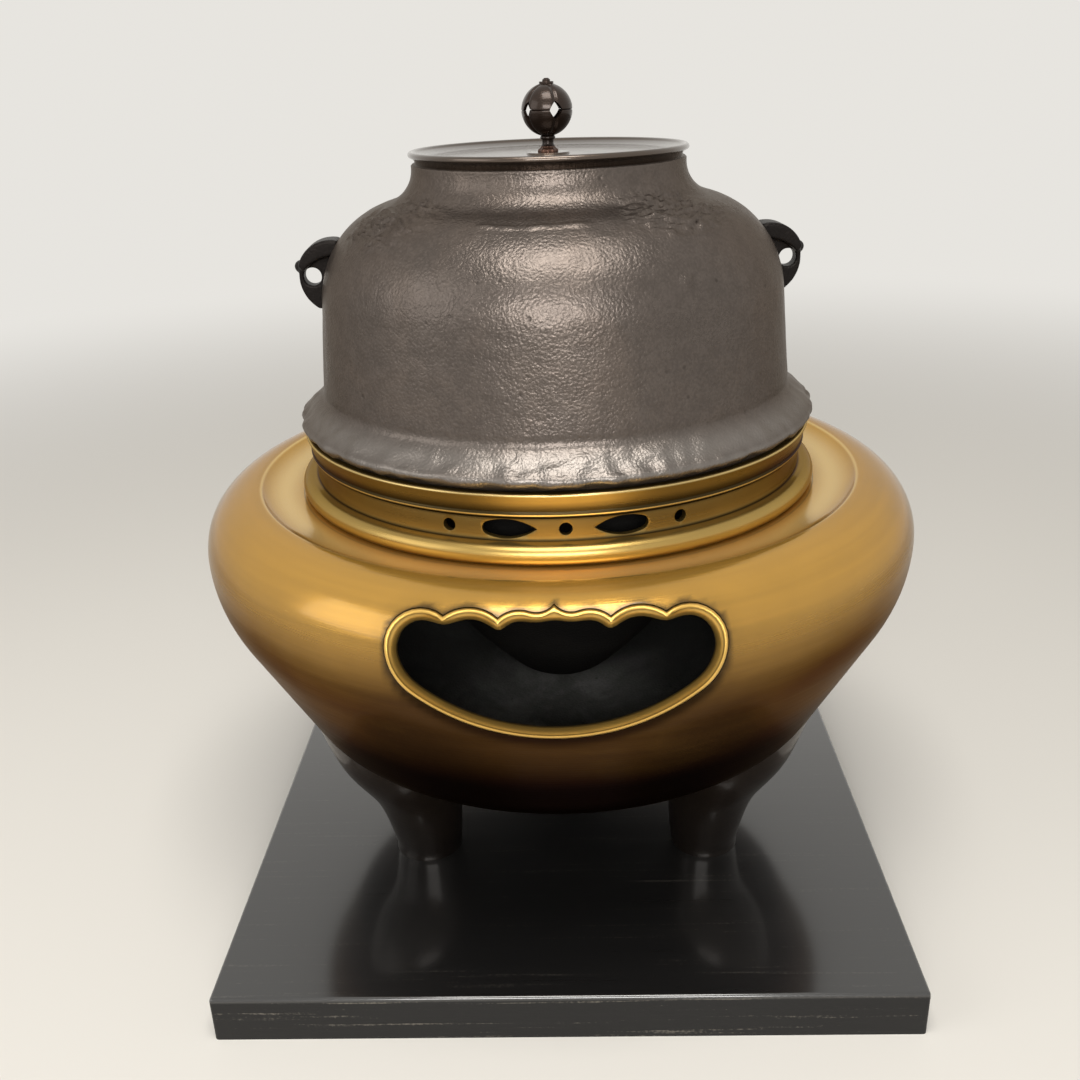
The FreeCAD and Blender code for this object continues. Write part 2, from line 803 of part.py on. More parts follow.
def make_kettle_body():
    """Cast kettle body with a flaring skirt, a broad shoulder and a short neck."""
    body = new_body("kettle_body")
    wall = S["kettle_wall"]
    inner_round = S["kettle_shoulder_round"] - wall
    centre_out, centre_up = kettle_shoulder(-S["kettle_shoulder_round"], S["kettle_taper"])
    reach = mouth_bore - centre_out
    inner_neck = (mouth_bore, centre_up + root(inner_round * inner_round - reach * reach))
    inner_wall = kettle_shoulder(-wall, S["kettle_taper"])
    foot_height = S["socket_height"] + wall
    inner_foot = inner_wall[0] + (inner_wall[1] - foot_height) * tangent(S["kettle_taper"])
    revolve(body, "kettle_shell", [(skirt_bore, ZERO)] + kettle_face() + [
        (mouth_bore, mouth_height),
        (*inner_neck, Bend(inner_round, to_left=True)),
        inner_wall,
        (inner_foot, foot_height),
        (skirt_bore, S["socket_height"]),
    ])
    raise_to(body, kettle_floor)
    return body


def make_kettle_block():
    """The kettle's outer form as a full block, which shapes the roots of the lugs."""
    body = new_body("kettle_block")
    revolve(body, "kettle_block_turned", [(ZERO, ZERO)] + kettle_face() + [(ZERO, mouth_height)])
    raise_to(body, kettle_floor)
    return body


def bottom_face(inset):
    """Corners of the kettle bottom's side from its tip up to the skirt, moved inwards."""
    centre_up = S["tip_round"] - S["bottom_depth"]
    tip_round = S["tip_round"] - inset
    sweep = S["tip_sweep"]
    return [
        (ZERO, inset - S["bottom_depth"], Bend(tip_round)),
        (tip_round * sine(sweep), centre_up - tip_round * cosine(sweep), Bend(S["side_round"] - inset)),
        (bottom_radius - inset, -S["bottom_top"]),
    ]


def make_kettle_bottom():
    """Rounded bottom that fits up into the skirt."""
    body = new_body("kettle_bottom")
    wall = S["bottom_wall"]
    lip = [(bottom_radius, S["socket_height"]), (bottom_radius - wall, S["socket_height"])]
    revolve(body, "bottom_shell", bottom_face(ZERO) + lip + turned_back(bottom_face(wall)))
    raise_to(body, kettle_floor)
    return body


def make_singing_irons():
    """Small irons that sit on the inside of the kettle's bottom."""
    hollow = new_body("bottom_hollow")
    revolve(hollow, "bottom_hollow_turned", bottom_face(S["bottom_wall"]) + [(ZERO, -S["bottom_top"])])
    raise_to(hollow, kettle_floor)
    floor = kettle_floor - S["bottom_depth"]
    irons = []
    for index in range(IRON_COUNT):
        iron = doc.addObject("Part::Cylinder", f"iron_{index}")
        iron.setExpression("Radius", S["iron_radius"].words)
        iron.setExpression("Height", (S["iron_rise"] + S["bottom_wall"]).words)
        bearing = as_size(FULL_TURN / IRON_COUNT * index)
        iron.setExpression(".Placement.Base.x", (S["iron_circle"] * cosine(bearing)).words)
        iron.setExpression(".Placement.Base.y", (S["iron_circle"] * sine(bearing)).words)
        iron.setExpression(".Placement.Base.z", floor.words)
        irons.append(iron)
    group = doc.addObject("Part::MultiFuse", "iron_group")
    group.Shapes = irons
    return join("Part::Common", "singing_irons", group, hollow)


def make_lug(name, bearing, block):
    """Hooded ear with a round eye, rooted on the kettle's shoulder."""
    body = new_body(name + "_ear")
    start_out, start_up = kettle_shoulder(ZERO, S["kettle_taper"])
    eye = (start_out + S["eye_reach"], start_up + S["eye_rise"])
    root_point = (eye[0] - S["hood_root_reach"], eye[1] + S["hood_root_rise"])
    tip = (eye[0] + S["hood_tip_reach"], eye[1] + S["hood_tip_rise"])
    arm_tip = (eye[0] - S["arm_tip_set_in"], eye[1] - S["arm_tip_drop"])
    heel = (arm_tip[0] - S["lug_root_depth"], arm_tip[1])
    ring = new_sketch(body, name + "_ring_outline")
    draw_outline(ring, [
        (*root_point, Bend(S["hood_round"], to_left=True)),
        (*tip, Bend(S["arm_round"], to_left=True)),
        arm_tip,
        heel,
        (heel[0], root_point[1] - S["lug_root_depth"]),
    ])
    draw_circle(ring, *eye, S["eye_radius"])
    pad(body, name + "_ring", ring, S["lug_thickness"])
    hood = new_sketch(body, name + "_hood_outline")
    depth = S["hood_depth"]
    draw_outline(hood, [
        (*root_point, Bend(S["hood_round"], to_left=True)),
        tip,
        (tip[0] - depth / 2, tip[1] - depth / 2, Bend(S["hood_round"] - depth)),
        (root_point[0], root_point[1] - depth),
    ])
    pad(body, name + "_hood", hood, S["hood_thickness"])
    nub = body.newObject("PartDesign::AdditiveSphere", name + "_nub")
    nub.setExpression("Radius", S["nub_radius"].words)
    nub.AttachmentSupport = [(origin_plane(body, "XZ_Plane"), "")]
    nub.MapMode = "FlatFace"
    nub.setExpression(".AttachmentOffset.Base.x", tip[0].words)
    nub.setExpression(".AttachmentOffset.Base.y", (tip[1] - S["nub_radius"] / 2).words)
    body.Tip = nub
    raise_to(body, kettle_floor, bearing)
    return join("Part::Cut", name, body, block)


plate_top = S["lid_plate_thickness"]
pin_bore = S["pin_radius"] + S["pin_gap"]
disc_top = plate_top + S["base_disc_height"]
seat_top = disc_top + S["seat_height"]
stem_top = seat_top + S["neck_stem_height"]
ball_foot = stem_top + S["neck_collar_height"]
ball_middle = ball_foot + S["ball_half_height"]
ball_top = ball_middle + S["ball_half_height"]
washer_top = ball_top + S["washer_height"]


def make_lid_plate():
    """Thin lid with a bead round its edge and a locating ring underneath."""
    body = new_body("lid_plate")
    edge = S["neck_radius"] + S["lid_overhang"]
    spigot = mouth_bore - S["lid_gap"]
    bead = S["lid_bead_round"]
    bead_inside = edge - S["lid_bead_width"]
    revolve(body, "lid_turned", [
        (pin_bore, ZERO),
        (spigot - S["lid_spigot_wall"], ZERO),
        (spigot - S["lid_spigot_wall"], -S["lid_spigot_depth"]),
        (spigot, -S["lid_spigot_depth"]),
        (spigot, ZERO),
        (edge - S["lid_undercut"], ZERO),
        (edge - bead / 3, S["lid_bead_height"] / 2),
        (edge, S["lid_bead_height"] - bead),
        (edge, S["lid_bead_height"] - bead / 2, Bend(bead)),
        (bead_inside, S["lid_bead_height"] - bead / 2),
        (bead_inside - bead, plate_top + bead / 3),
        (S["base_disc_radius"] * 2, plate_top),
        (pin_bore, plate_top),
    ])
    raise_to(body, lid_floor)
    return body


def make_turned(name, corners):
    """Small turned piece on the lid's axis."""
    body = new_body(name)
    revolve(body, name + "_turned", corners)
    raise_to(body, lid_floor)
    return body


def make_knob_mount():
    """Disc, seat, neck, washers and pin that hold the ball on the lid."""
    disc_edge = S["base_disc_height"] / 2
    stem = S["neck_stem_radius"]
    collar = S["neck_collar_radius"]
    head = S["pin_head_radius"]
    head_top = washer_top + S["pin_head_height"]
    return [
        make_turned("knob_base_disc", [
            (pin_bore, plate_top),
            (S["base_disc_radius"], plate_top),
            (S["base_disc_radius"] - disc_edge, disc_top),
            (pin_bore, disc_top),
        ]),
        make_turned("knob_seat", [
            (pin_bore, disc_top),
            (S["seat_radius"], disc_top),
            (S["seat_top_radius"], seat_top),
            (pin_bore, seat_top),
        ]),
        make_turned("knob_neck", [
            (pin_bore, seat_top),
            (stem, seat_top),
            (stem, stem_top),
            (collar, stem_top + S["neck_collar_height"] / 3),
            (collar, ball_foot),
            (pin_bore, ball_foot),
        ]),
        make_turned("knob_washer", [
            (pin_bore, ball_top),
            (S["washer_radius"], ball_top),
            (S["washer_radius"], washer_top),
            (pin_bore, washer_top),
        ]),
        make_turned("lid_clench_washer", [
            (pin_bore, -S["clench_height"]),
            (S["clench_radius"], -S["clench_height"]),
            (S["clench_radius"], ZERO),
            (pin_bore, ZERO),
        ]),
        make_turned("knob_pin", [
            (ZERO, -S["clench_height"] - S["pin_tail"]),
            (S["pin_radius"], -S["clench_height"] - S["pin_tail"]),
            (S["pin_radius"], washer_top),
            (head, washer_top),
            (head, washer_top + S["pin_head_height"] / 2),
            (head / 2, head_top),
            (ZERO, head_top),
        ]),
    ]


def make_cup(name, upward):
    """One lobed half shell of the ball, with notches on the equator and grooves to the pole."""
    body = new_body(name)
    sign = as_size(1 if upward else -1)
    wall = S["ball_wall"]
    flat = S["neck_collar_radius"]
    radius = S["ball_radius"]
    pole = S["ball_half_height"]
    swell = Bend(radius, to_left=not upward)
    hollow = Bend(radius - wall, to_left=upward)
    revolve(body, name + "_shell", [
        (radius, ZERO, swell),
        (flat, pole * sign),
        (pin_bore, pole * sign),
        (pin_bore, (pole - wall) * sign),
        (flat - wall, (pole - wall) * sign, hollow),
        (radius - wall, ZERO),
    ])
    notch = new_sketch(body, name + "_notch_outline", "YZ_Plane", shift=(ZERO, ZERO, radius * 2))
    half = S["ball_hole_width"] / 2
    draw_outline(notch, [(-half, ZERO), (half, ZERO), (ZERO, S["ball_hole_height"] / 2 * sign)])
    cut = pocket(body, name + "_notch", notch, radius * 3 / 2)
    polar(body, name + "_notches", cut, BALL_LOBES)
    groove = new_sketch(body, name + "_groove_outline", "XZ_Plane")
    outer, inner = radius * 2, radius - S["ball_groove_depth"]
    draw_outline(groove, [
        (inner, ZERO, Bend(inner, to_left=not upward)),
        (flat, (pole - S["ball_groove_depth"]) * sign),
        (flat, pole * 2 * sign),
        (outer, pole * 2 * sign),
        (outer, ZERO),
    ])
    doc.recompute()
    before = body.Shape.Volume
    channel = body.newObject("PartDesign::Pocket", name + "_groove")
    channel.Profile = groove
    channel.Midplane = True
    channel.setExpression("Length", S["ball_groove_width"].words)
    body.Tip = channel
    polar(body, name + "_grooves", channel, BALL_LOBES)
    doc.recompute()
    if body.Shape.Volume >= before:
        raise RuntimeError(f"{name} grooves cut nothing")
    raise_to(body, lid_floor + ball_middle, S["ball_turn"].number)
    return body


def make_parts():
    """Build every piece and return the objects that are handed on as files."""
    bowl_block = make_bowl_block()
    kettle_block = make_kettle_block()
    parts = [make_board(), make_bowl(), make_shoulder(), make_collar(), make_window_rim()]
    parts += [make_foot(name, bearing, bowl_block) for name, bearing in FEET.items()]
    parts += [make_kettle_body(), make_kettle_bottom(), make_singing_irons()]
    turn = S["lug_turn"].number
    parts += [make_lug("lug_right", turn, kettle_block), make_lug("lug_left", turn + HALF_TURN, kettle_block)]
    parts += [make_lid_plate(), *make_knob_mount()]
    parts += [make_cup("knob_lower_cup", upward=False), make_cup("knob_upper_cup", upward=True)]
    return parts


def check(parts):
    """Stop if any object failed or any piece is empty or broken."""
    for item in doc.Objects:
        if "Invalid" in item.State or "Error" in item.State:
            raise RuntimeError(f"{item.Label} failed: {item.State}")
    for part in parts:
        if part.Shape.isNull() or not part.Shape.isValid() or not part.Shape.Solids:
            raise RuntimeError(f"{part.Label} has no sound solid")


def write(parts):
    """Write each piece to its own file and print its volume."""
    os.makedirs("parts", exist_ok=True)
    for part in parts:
        part.Shape.exportStep(f"parts/{part.Label}.step")
        print(f"{part.Label}: {len(part.Shape.Solids)} solid, {part.Shape.Volume / 1000:.2f} cm3")


parts = make_parts()
doc.recompute()
check(parts)
write(parts)
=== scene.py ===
"""Looks of a tea brazier set.

A bronze bowl and collar, a hanging iron kettle, a lid with a ball knob and a lacquered board.
"""
import logging
import math
from dataclasses import dataclass, field
from enum import Enum
from typing import Any, ClassVar, Optional, Sequence

import bmesh
import bpy
from bmesh.types import BMEdge, BMesh, BMFace, BMVert
from bpy.types import Material, MeshPolygon, Node, NodeSocket, NodeTree, Object
from mathutils import Matrix, Vector, noise


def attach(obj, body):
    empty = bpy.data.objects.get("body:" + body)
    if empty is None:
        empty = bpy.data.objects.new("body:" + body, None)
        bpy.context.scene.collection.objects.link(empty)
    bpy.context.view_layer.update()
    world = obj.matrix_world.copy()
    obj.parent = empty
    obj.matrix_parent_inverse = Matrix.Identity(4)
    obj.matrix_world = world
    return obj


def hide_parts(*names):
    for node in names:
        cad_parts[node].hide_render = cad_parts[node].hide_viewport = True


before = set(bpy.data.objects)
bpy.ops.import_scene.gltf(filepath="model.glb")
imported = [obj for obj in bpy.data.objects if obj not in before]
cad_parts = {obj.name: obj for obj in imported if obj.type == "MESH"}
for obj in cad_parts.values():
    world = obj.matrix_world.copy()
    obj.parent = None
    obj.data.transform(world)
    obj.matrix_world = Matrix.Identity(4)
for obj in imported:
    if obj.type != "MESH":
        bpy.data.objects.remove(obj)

LOG = logging.getLogger("tea_brazier")
MM = 0.001
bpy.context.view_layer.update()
FULL_TURN = 2.0 * math.pi
MERGE_DISTANCE = 2e-3
SECTORS = 12
ORIGIN = (0.0, 0.0, 0.0)
SHADE_NAME = "window_shade"

Pair = tuple[float, float]
Triple = tuple[float, float, float]
Colour = Triple


class Body(Enum):
    """The moving bodies that pieces ride on."""

    BOARD = "board"
    BRAZIER = "brazier"
    KETTLE = "kettle"
    LID = "lid"


def smooth_step(low: float, high: float, value: float) -> float:
    """Smooth ramp of a value, from 0 at low to 1 at high."""
    share = min(max((value - low) / (high - low), 0.0), 1.0)
    return share * share * (3.0 - 2.0 * share)


class Outline:
    """A wire drawn with lines and arcs in the XZ plane, to be turned, filled or bridged."""

    def __init__(self, x: float, z: float, mesh: Optional[BMesh] = None) -> None:
        """Start the wire at a point.

        Args:
            x: place of the point across.
            z: place of the point upwards.
            mesh: mesh to draw in, or a new one where none is given.
        """
        self.mesh = mesh or bmesh.new()
        self.tip: BMVert = self.mesh.verts.new((x, 0.0, z))
        self.first = self.tip
        self.path: list[BMVert] = [self.tip]

    def line(self, x: float, z: float, cuts: int = 0) -> "Outline":
        """Draw a straight run.

        Args:
            x: end of the run across.
            z: end of the run upwards.
            cuts: points put in between.

        Returns:
            The outline, for the next run.
        """
        start = self.tip.co.copy()
        end = Vector((x, 0.0, z))
        for step in range(1, cuts + 2):
            grown = bmesh.ops.extrude_vert_indiv(self.mesh, verts=[self.tip])
            self.tip = grown["verts"][0]
            self.tip.co = start.lerp(end, step / (cuts + 1))
            self.path.append(self.tip)
        return self

    def bend(self, x: float, z: float, radius: float, left: bool = False, steps: int = 8) -> "Outline":
        """Draw an arc of under a half circle.

        Args:
            x: end of the arc across.
            z: end of the arc upwards.
            radius: radius of the arc.
            left: whether the arc swells to the left of its path.
            steps: straight pieces in the arc.

        Returns:
            The outline, for the next run.
        """
        start, end = self.tip.co.copy(), Vector((x, 0.0, z))
        chord = end - start
        half = chord.length / 2.0
        swell = Vector((chord.z, 0.0, -chord.x)).normalized() * (-1.0 if left else 1.0)
        centre = (start + end) / 2.0 - swell * math.sqrt(max(radius * radius - half * half, 0.0))
        angle = 2.0 * math.asin(min(half / radius, 1.0)) * (-1.0 if left else 1.0)
        for _ in range(steps):
            grown = bmesh.ops.spin(self.mesh, geom=[self.tip], cent=centre, axis=(0.0, -1.0, 0.0),
                                   dvec=ORIGIN, angle=angle / steps, steps=1)
            self.tip = next(item for item in grown["geom_last"] if isinstance(item, BMVert))
            self.path.append(self.tip)
        self.tip.co = end
        return self

    def close(self) -> list[BMVert]:
        """Join the tip to the start, where they meet or with a straight run.

        Returns:
            The corners of the closed wire in order.
        """
        if (self.tip.co - self.first.co).length < MERGE_DISTANCE:
            self.path.pop()
            bmesh.ops.pointmerge(self.mesh, verts=[self.first, self.tip], merge_co=self.first.co)
        else:
            self.mesh.edges.new((self.tip, self.first))
        return self.path

    def turn(self, steps: int) -> BMesh:
        """Turn the wire about the Z axis into a closed skin.

        One sector is spun and then copied round, which is quicker than one long spin.

        Args:
            steps: pieces round the axis, a multiple of the sectors.

        Returns:
            The turned mesh, its faces pointing outwards.
        """
        wire = self.mesh.verts[:] + self.mesh.edges[:]
        bmesh.ops.spin(self.mesh, geom=wire, cent=ORIGIN, axis=(0.0, 0.0, 1.0), dvec=ORIGIN,
                       angle=FULL_TURN / SECTORS, steps=steps // SECTORS)
        sector = self.mesh.verts[:] + self.mesh.edges[:] + self.mesh.faces[:]
        for index in range(1, SECTORS):
            copied = bmesh.ops.duplicate(self.mesh, geom=sector)["geom"]
            corners = [item for item in copied if isinstance(item, BMVert)]
            bmesh.ops.rotate(self.mesh, cent=ORIGIN, verts=corners,
                             matrix=Matrix.Rotation(FULL_TURN * index / SECTORS, 3, "Z"))
        bmesh.ops.remove_doubles(self.mesh, verts=self.mesh.verts[:], dist=MERGE_DISTANCE)
        bmesh.ops.recalc_face_normals(self.mesh, faces=self.mesh.faces[:])
        return self.mesh


def prism(outline: Outline, start: float, end: float) -> BMesh:
    """Fill a closed outline and draw it out along Y.

    Args:
        outline: outline that has been closed.
        start: Y of the filled face.
        end: Y of the far face.

    Returns:
        A closed block.
    """
    mesh = outline.mesh
    face = mesh.faces.new(outline.path)
    bmesh.ops.translate(mesh, verts=mesh.verts[:], vec=(0.0, start, 0.0))
    grown = bmesh.ops.extrude_face_region(mesh, geom=[face])
    moved = [item for item in grown["geom"] if isinstance(item, BMVert)]
    bmesh.ops.translate(mesh, verts=moved, vec=(0.0, end - start, 0.0))
    bmesh.ops.recalc_face_normals(mesh, faces=mesh.faces[:])
    return mesh


def lift(mesh: BMesh, height: float) -> BMesh:
    """Move a mesh up and give it back."""
    bmesh.ops.translate(mesh, verts=mesh.verts[:], vec=(0.0, 0.0, height))
    return mesh


def move(mesh: BMesh, matrix: Matrix) -> BMesh:
    """Move a mesh by a matrix and give it back."""
    bmesh.ops.transform(mesh, matrix=matrix, verts=mesh.verts[:])
    return mesh


def raw_object(name: str, mesh: BMesh) -> Object:
    """Make an object from a mesh drawn in millimetres and free the mesh.

    Args:
        name: name of the object.
        mesh: mesh in millimetres.

    Returns:
        The object, at the origin and in metres.
    """
    bmesh.ops.scale(mesh, vec=(MM, MM, MM), verts=mesh.verts[:])
    data = bpy.data.meshes.new(name)
    mesh.to_mesh(data)
    mesh.free()
    item = bpy.data.objects.new(name, data)
    bpy.context.scene.collection.objects.link(item)
    return item


def apply_modifiers(item: Object) -> None:
    """Put an object's modifiers into its mesh.

    Args:
        item: the object.
    """
    view = bpy.context.evaluated_depsgraph_get()
    view.update()
    old = item.data
    item.data = bpy.data.meshes.new_from_object(item.evaluated_get(view))
    item.data.name = item.name
    item.modifiers.clear()
    bpy.data.meshes.remove(old)


def combine(item: Object, tools: Sequence[Object], operation: str) -> None:
    """Join other objects to an object, or cut them out of it, and remove them.

    Args:
        item: object that stays.
        tools: the other objects.
        operation: UNION or DIFFERENCE.
    """
    for tool in tools:
        step = item.modifiers.new("combine", "BOOLEAN")
        step.operation = operation
        step.solver = "EXACT"
        step.object = tool
    apply_modifiers(item)
    for tool in tools:
        data = tool.data
        bpy.data.objects.remove(tool)
        bpy.data.meshes.remove(data)


def carve(item: Object, cutters: Sequence[BMesh]) -> None:
    """Cut closed blocks, drawn in millimetres and freed here, out of an object."""
    tools = [raw_object(f"cutter_{index}", cutter) for index, cutter in enumerate(cutters)]
    combine(item, tools, "DIFFERENCE")


def seat_piece(item: Object, body: Body, nodes: Sequence[str], materials: Sequence[Material],
               sharp: float) -> None:
    """Shade a piece, give it its finish and let it ride for the solids that it stands for.

    Args:
        item: the piece.
        body: body that carries it.
        nodes: solids that it stands for.
        materials: finishes, in the order of the faces' numbers.
        sharp: angle in degrees above which an edge stays sharp.
    """
    item.data.shade_smooth()
    item.data.set_sharp_from_angle(angle=math.radians(sharp))
    for material in materials:
        item.data.materials.append(material)
    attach(item, body.value)
    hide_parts(*nodes)
    LOG.info("%s: %d faces on %s", item.name, len(item.data.polygons), body.value)


def dress_solid(name: str, material: Material) -> None:
    """Give its finish to a solid that stays as it is.

    Args:
        name: name of the solid.
        material: its finish.
    """
    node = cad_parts[name]
    node.data.materials.clear()
    node.data.materials.append(material)
    LOG.info("%s: finish only", name)


class Graph:
    """Short calls for building the nodes of a material or a group."""

    def __init__(self, tree: NodeTree) -> None:
        """Take the tree to build in."""
        self.tree = tree

    def node(self, kind: str, settings: Optional[dict[str, Any]] = None, **inputs: Any) -> Node:
        """Add a node.

        Args:
            kind: node type.
            settings: properties of the node.
            inputs: values or sockets for the inputs.

        Returns:
            The node.
        """
        made = self.tree.nodes.new(kind)
        for key, value in (settings or {}).items():
            setattr(made, key, value)
        for key, value in inputs.items():
            self.feed(made.inputs[key], value)
        return made

    def feed(self, socket: NodeSocket, value: Any) -> None:
        """Link a socket to an input, or set the input's value.

        Args:
            socket: the input.
            value: a socket to link, or a value.
        """
        if isinstance(value, NodeSocket):
            self.tree.links.new(value, socket)
        elif isinstance(value, tuple) and socket.type == "RGBA":
            socket.default_value = (*value[:3], 1.0)
        else:
            socket.default_value = value

    def math(self, operation: str, first: Any, second: Any = 0.0, clamp: bool = False) -> NodeSocket:
        """Reckon with one or two values.

        Args:
            operation: what is done with the values.
            first: first value or socket.
            second: second value or socket.
            clamp: whether the result is kept between 0 and 1.

        Returns:
            Socket of the result.
        """
        made = self.node("ShaderNodeMath", {"operation": operation, "use_clamp": clamp})
        self.feed(made.inputs[0], first)
        self.feed(made.inputs[1], second)
        return made.outputs[0]

    def plus(self, first: Any, second: Any, clamp: bool = False) -> NodeSocket:
        """Add two values."""
        return self.math("ADD", first, second, clamp)

    def minus(self, first: Any, second: Any) -> NodeSocket:
        """Take the second value from the first."""
        return self.math("SUBTRACT", first, second)

    def times(self, first: Any, second: Any) -> NodeSocket:
        """Multiply two values."""
        return self.math("MULTIPLY", first, second)

    def radius(self, parts: Node) -> NodeSocket:
        """Distance from the Z axis, from the parts of a place."""
        squares = [self.math("POWER", parts.outputs[axis], 2.0) for axis in (0, 1)]
        return self.math("SQRT", self.plus(*squares))

    def ramp(self, value: Any, low: float, high: float, start: float = 0.0, end: float = 1.0) -> NodeSocket:
        """Add a smooth ramp of a value between two limits.

        Args:
            value: value or socket.
            low: value where the ramp starts.
            high: value where it ends.
            start: result at the low limit.
            end: result at the high limit.

        Returns:
            Socket of the result.
        """
        made = self.node("ShaderNodeMapRange", {"interpolation_type": "SMOOTHSTEP"}, Value=value)
        for index, number in enumerate((low, high, start, end), start=1):
            self.feed(made.inputs[index], number)
        return made.outputs[0]

    def mix(self, share: Any, first: Any, second: Any, blend: str = "MIX") -> NodeSocket:
        """Mix two colours.

        Args:
            share: share of the second colour.
            first: first colour or socket.
            second: second colour or socket.
            blend: way of mixing.

        Returns:
            Socket of the mixed colour.
        """
        made = self.node("ShaderNodeMix", {"data_type": "RGBA", "blend_type": blend})
        for index, value in ((0, share), (6, first), (7, second)):
            self.feed(made.inputs[index], value)
        return made.outputs[2]

    def dim(self, colour: Any, tone: Any) -> NodeSocket:
        """Multiply a colour by a tone."""
        tint = self.node("ShaderNodeCombineXYZ", X=tone, Y=tone, Z=tone).outputs[0]
        return self.mix(1.0, colour, tint, "MULTIPLY")

    def darken(self, colour: Any, share: float, painted_shade_colour: Colour) -> NodeSocket:
        """Darken a colour by the shade that a piece carries on its points."""
        shade = self.node("ShaderNodeAttribute", {"attribute_name": SHADE_NAME}).outputs["Fac"]
        return self.mix(self.times(shade, share), colour, painted_shade_colour)

    def noise(self, place: Any, scale: float, detail: float, rough: float, warp: float = 0.0) -> NodeSocket:
        """Add a noise pattern and give its value."""
        return self.node("ShaderNodeTexNoise", Vector=place, Scale=scale, Detail=detail, Roughness=rough,
                         Distortion=warp).outputs[0]

    def stretch(self, place: Any, scale: Triple) -> NodeSocket:
        """Stretch a place by a factor along each axis."""
        return self.node("ShaderNodeMapping", Vector=place, Scale=scale).outputs[0]

    def bump(self, shader: Node, height: Any, strength: float, distance: float) -> None:
        """Bend a shader's normal by a height."""
        made = self.node("ShaderNodeBump", Strength=strength, Distance=distance, Height=height)
        self.feed(shader.inputs["Normal"], made.outputs[0])

    def group(self, tree: NodeTree, **inputs: Any) -> Node:
        """Place a shared group with its own values."""
        return self.node("ShaderNodeGroup", {"node_tree": tree}, **inputs)


class SharedEffects:
    """Node groups that several finishes use."""

    def __init__(self) -> None:
        """Build each group once."""
        self.ring_line = self.make_ring_line()
        self.rubbed = self.make_rubbed()
        self.cast_skin = self.make_cast_skin()

    @staticmethod
    def start(name: str, inputs: dict[str, float], outputs: Sequence[str]) -> tuple[Graph, Node, Node]:
        """Open a group with a place, other numbers as its inputs and numbers as its outputs.

        Args:
            name: name of the group.
            inputs: name and default of each input beside the place.
            outputs: name of each output.

        Returns:
            The graph of the group, its input node and its output node.
        """
        tree = bpy.data.node_groups.new(name, "ShaderNodeTree")
        tree.interface.new_socket(name="Place", in_out="INPUT", socket_type="NodeSocketVector")
        for label, value in inputs.items():
            socket = tree.interface.new_socket(name=label, in_out="INPUT", socket_type="NodeSocketFloat")
            socket.default_value = value
        for label in outputs:
            tree.interface.new_socket(name=label, in_out="OUTPUT", socket_type="NodeSocketFloat")
        graph = Graph(tree)
        return graph, graph.node("NodeGroupInput"), graph.node("NodeGroupOutput")

    def make_ring_line(self) -> NodeTree:
        """Mask of a ring about the Z axis, for worn edges that also carry painted highlights, and for painted
        shade in each crease.

        Returns:
            The tree of the group.
        """
        graph, given, out = self.start("ring_line", {"Radius": 0.1, "Height": 0.1, "Width": 0.002}, ["Mask"])
        parts = graph.node("ShaderNodeSeparateXYZ", Vector=given.outputs["Place"])
        off = graph.math("POWER", graph.minus(graph.radius(parts), given.outputs["Radius"]), 2.0)
        rise = graph.math("POWER", graph.minus(parts.outputs[2], given.outputs["Height"]), 2.0)
        gap = graph.math("DIVIDE", graph.math("SQRT", graph.plus(off, rise)), given.outputs["Width"])
        graph.feed(out.inputs["Mask"], graph.ramp(gap, 0.0, 1.0, 1.0, 0.0))
        return graph.tree

    def make_rubbed(self) -> NodeTree:
        """Hand-rubbed patina: streaks round the piece, soft clouds and fine scratches.

        Returns:
            The tree of the group.
        """
        graph, given, out = self.start("rubbed_patina", {"Slope": 0.6}, ["Streaks", "Clouds", "Scratches"])
        parts = graph.node("ShaderNodeSeparateXYZ", Vector=given.outputs["Place"])
        along = graph.minus(parts.outputs[2], graph.times(graph.radius(parts), given.outputs["Slope"]))
        place = graph.node("ShaderNodeCombineXYZ", X=parts.outputs[0], Y=parts.outputs[1], Z=along).outputs[0]
        streaks = graph.noise(graph.stretch(place, (5.0, 5.0, 130.0)), scale=1.0, detail=5.0, rough=0.6)
        scratches = graph.noise(graph.stretch(place, (26.0, 26.0, 1500.0)), scale=1.0, detail=3.0, rough=0.65)
        clouds = graph.noise(given.outputs["Place"], scale=17.0, detail=4.0, rough=0.55, warp=0.4)
        for label, value in (("Streaks", streaks), ("Clouds", clouds), ("Scratches", scratches)):
            graph.feed(out.inputs[label], value)
        return graph.tree

    def make_cast_skin(self) -> NodeTree:
        """Pebbled skin of sand-cast iron: grains, lumps and pits.

        Returns:
            The tree of the group.
        """
        graph, given, out = self.start("cast_skin", {}, ["Grain", "Pits", "Clouds"])
        place = given.outputs["Place"]
        fine = graph.noise(place, scale=2200.0, detail=2.0, rough=0.7)
        lumps = graph.noise(place, scale=880.0, detail=2.0, rough=0.5, warp=0.2)
        soft = graph.noise(place, scale=170.0, detail=3.0, rough=0.5)
        cells = graph.node("ShaderNodeTexVoronoi", {"feature": "SMOOTH_F1"}, Vector=place, Scale=900.0,
                           Smoothness=0.4).outputs[0]
        fine_share, lump_share, soft_share, cell_share = 0.2, 0.8, 0.7, 0.35
        grain = graph.plus(graph.times(fine, fine_share), graph.times(lumps, lump_share))
        grain = graph.plus(grain, graph.times(soft, soft_share))
        grain = graph.minus(grain, graph.times(cells, cell_share))
        holes = graph.node("ShaderNodeTexVoronoi", Vector=place, Scale=95.0, Randomness=1.0).outputs[0]
        graph.feed(out.inputs["Grain"], grain)
        graph.feed(out.inputs["Pits"], graph.ramp(holes, low=0.03, high=0.11, start=1.0, end=0.0))
        graph.feed(out.inputs["Clouds"], graph.noise(place, scale=28.0, detail=5.0, rough=0.6, warp=0.5))
        return graph.tree


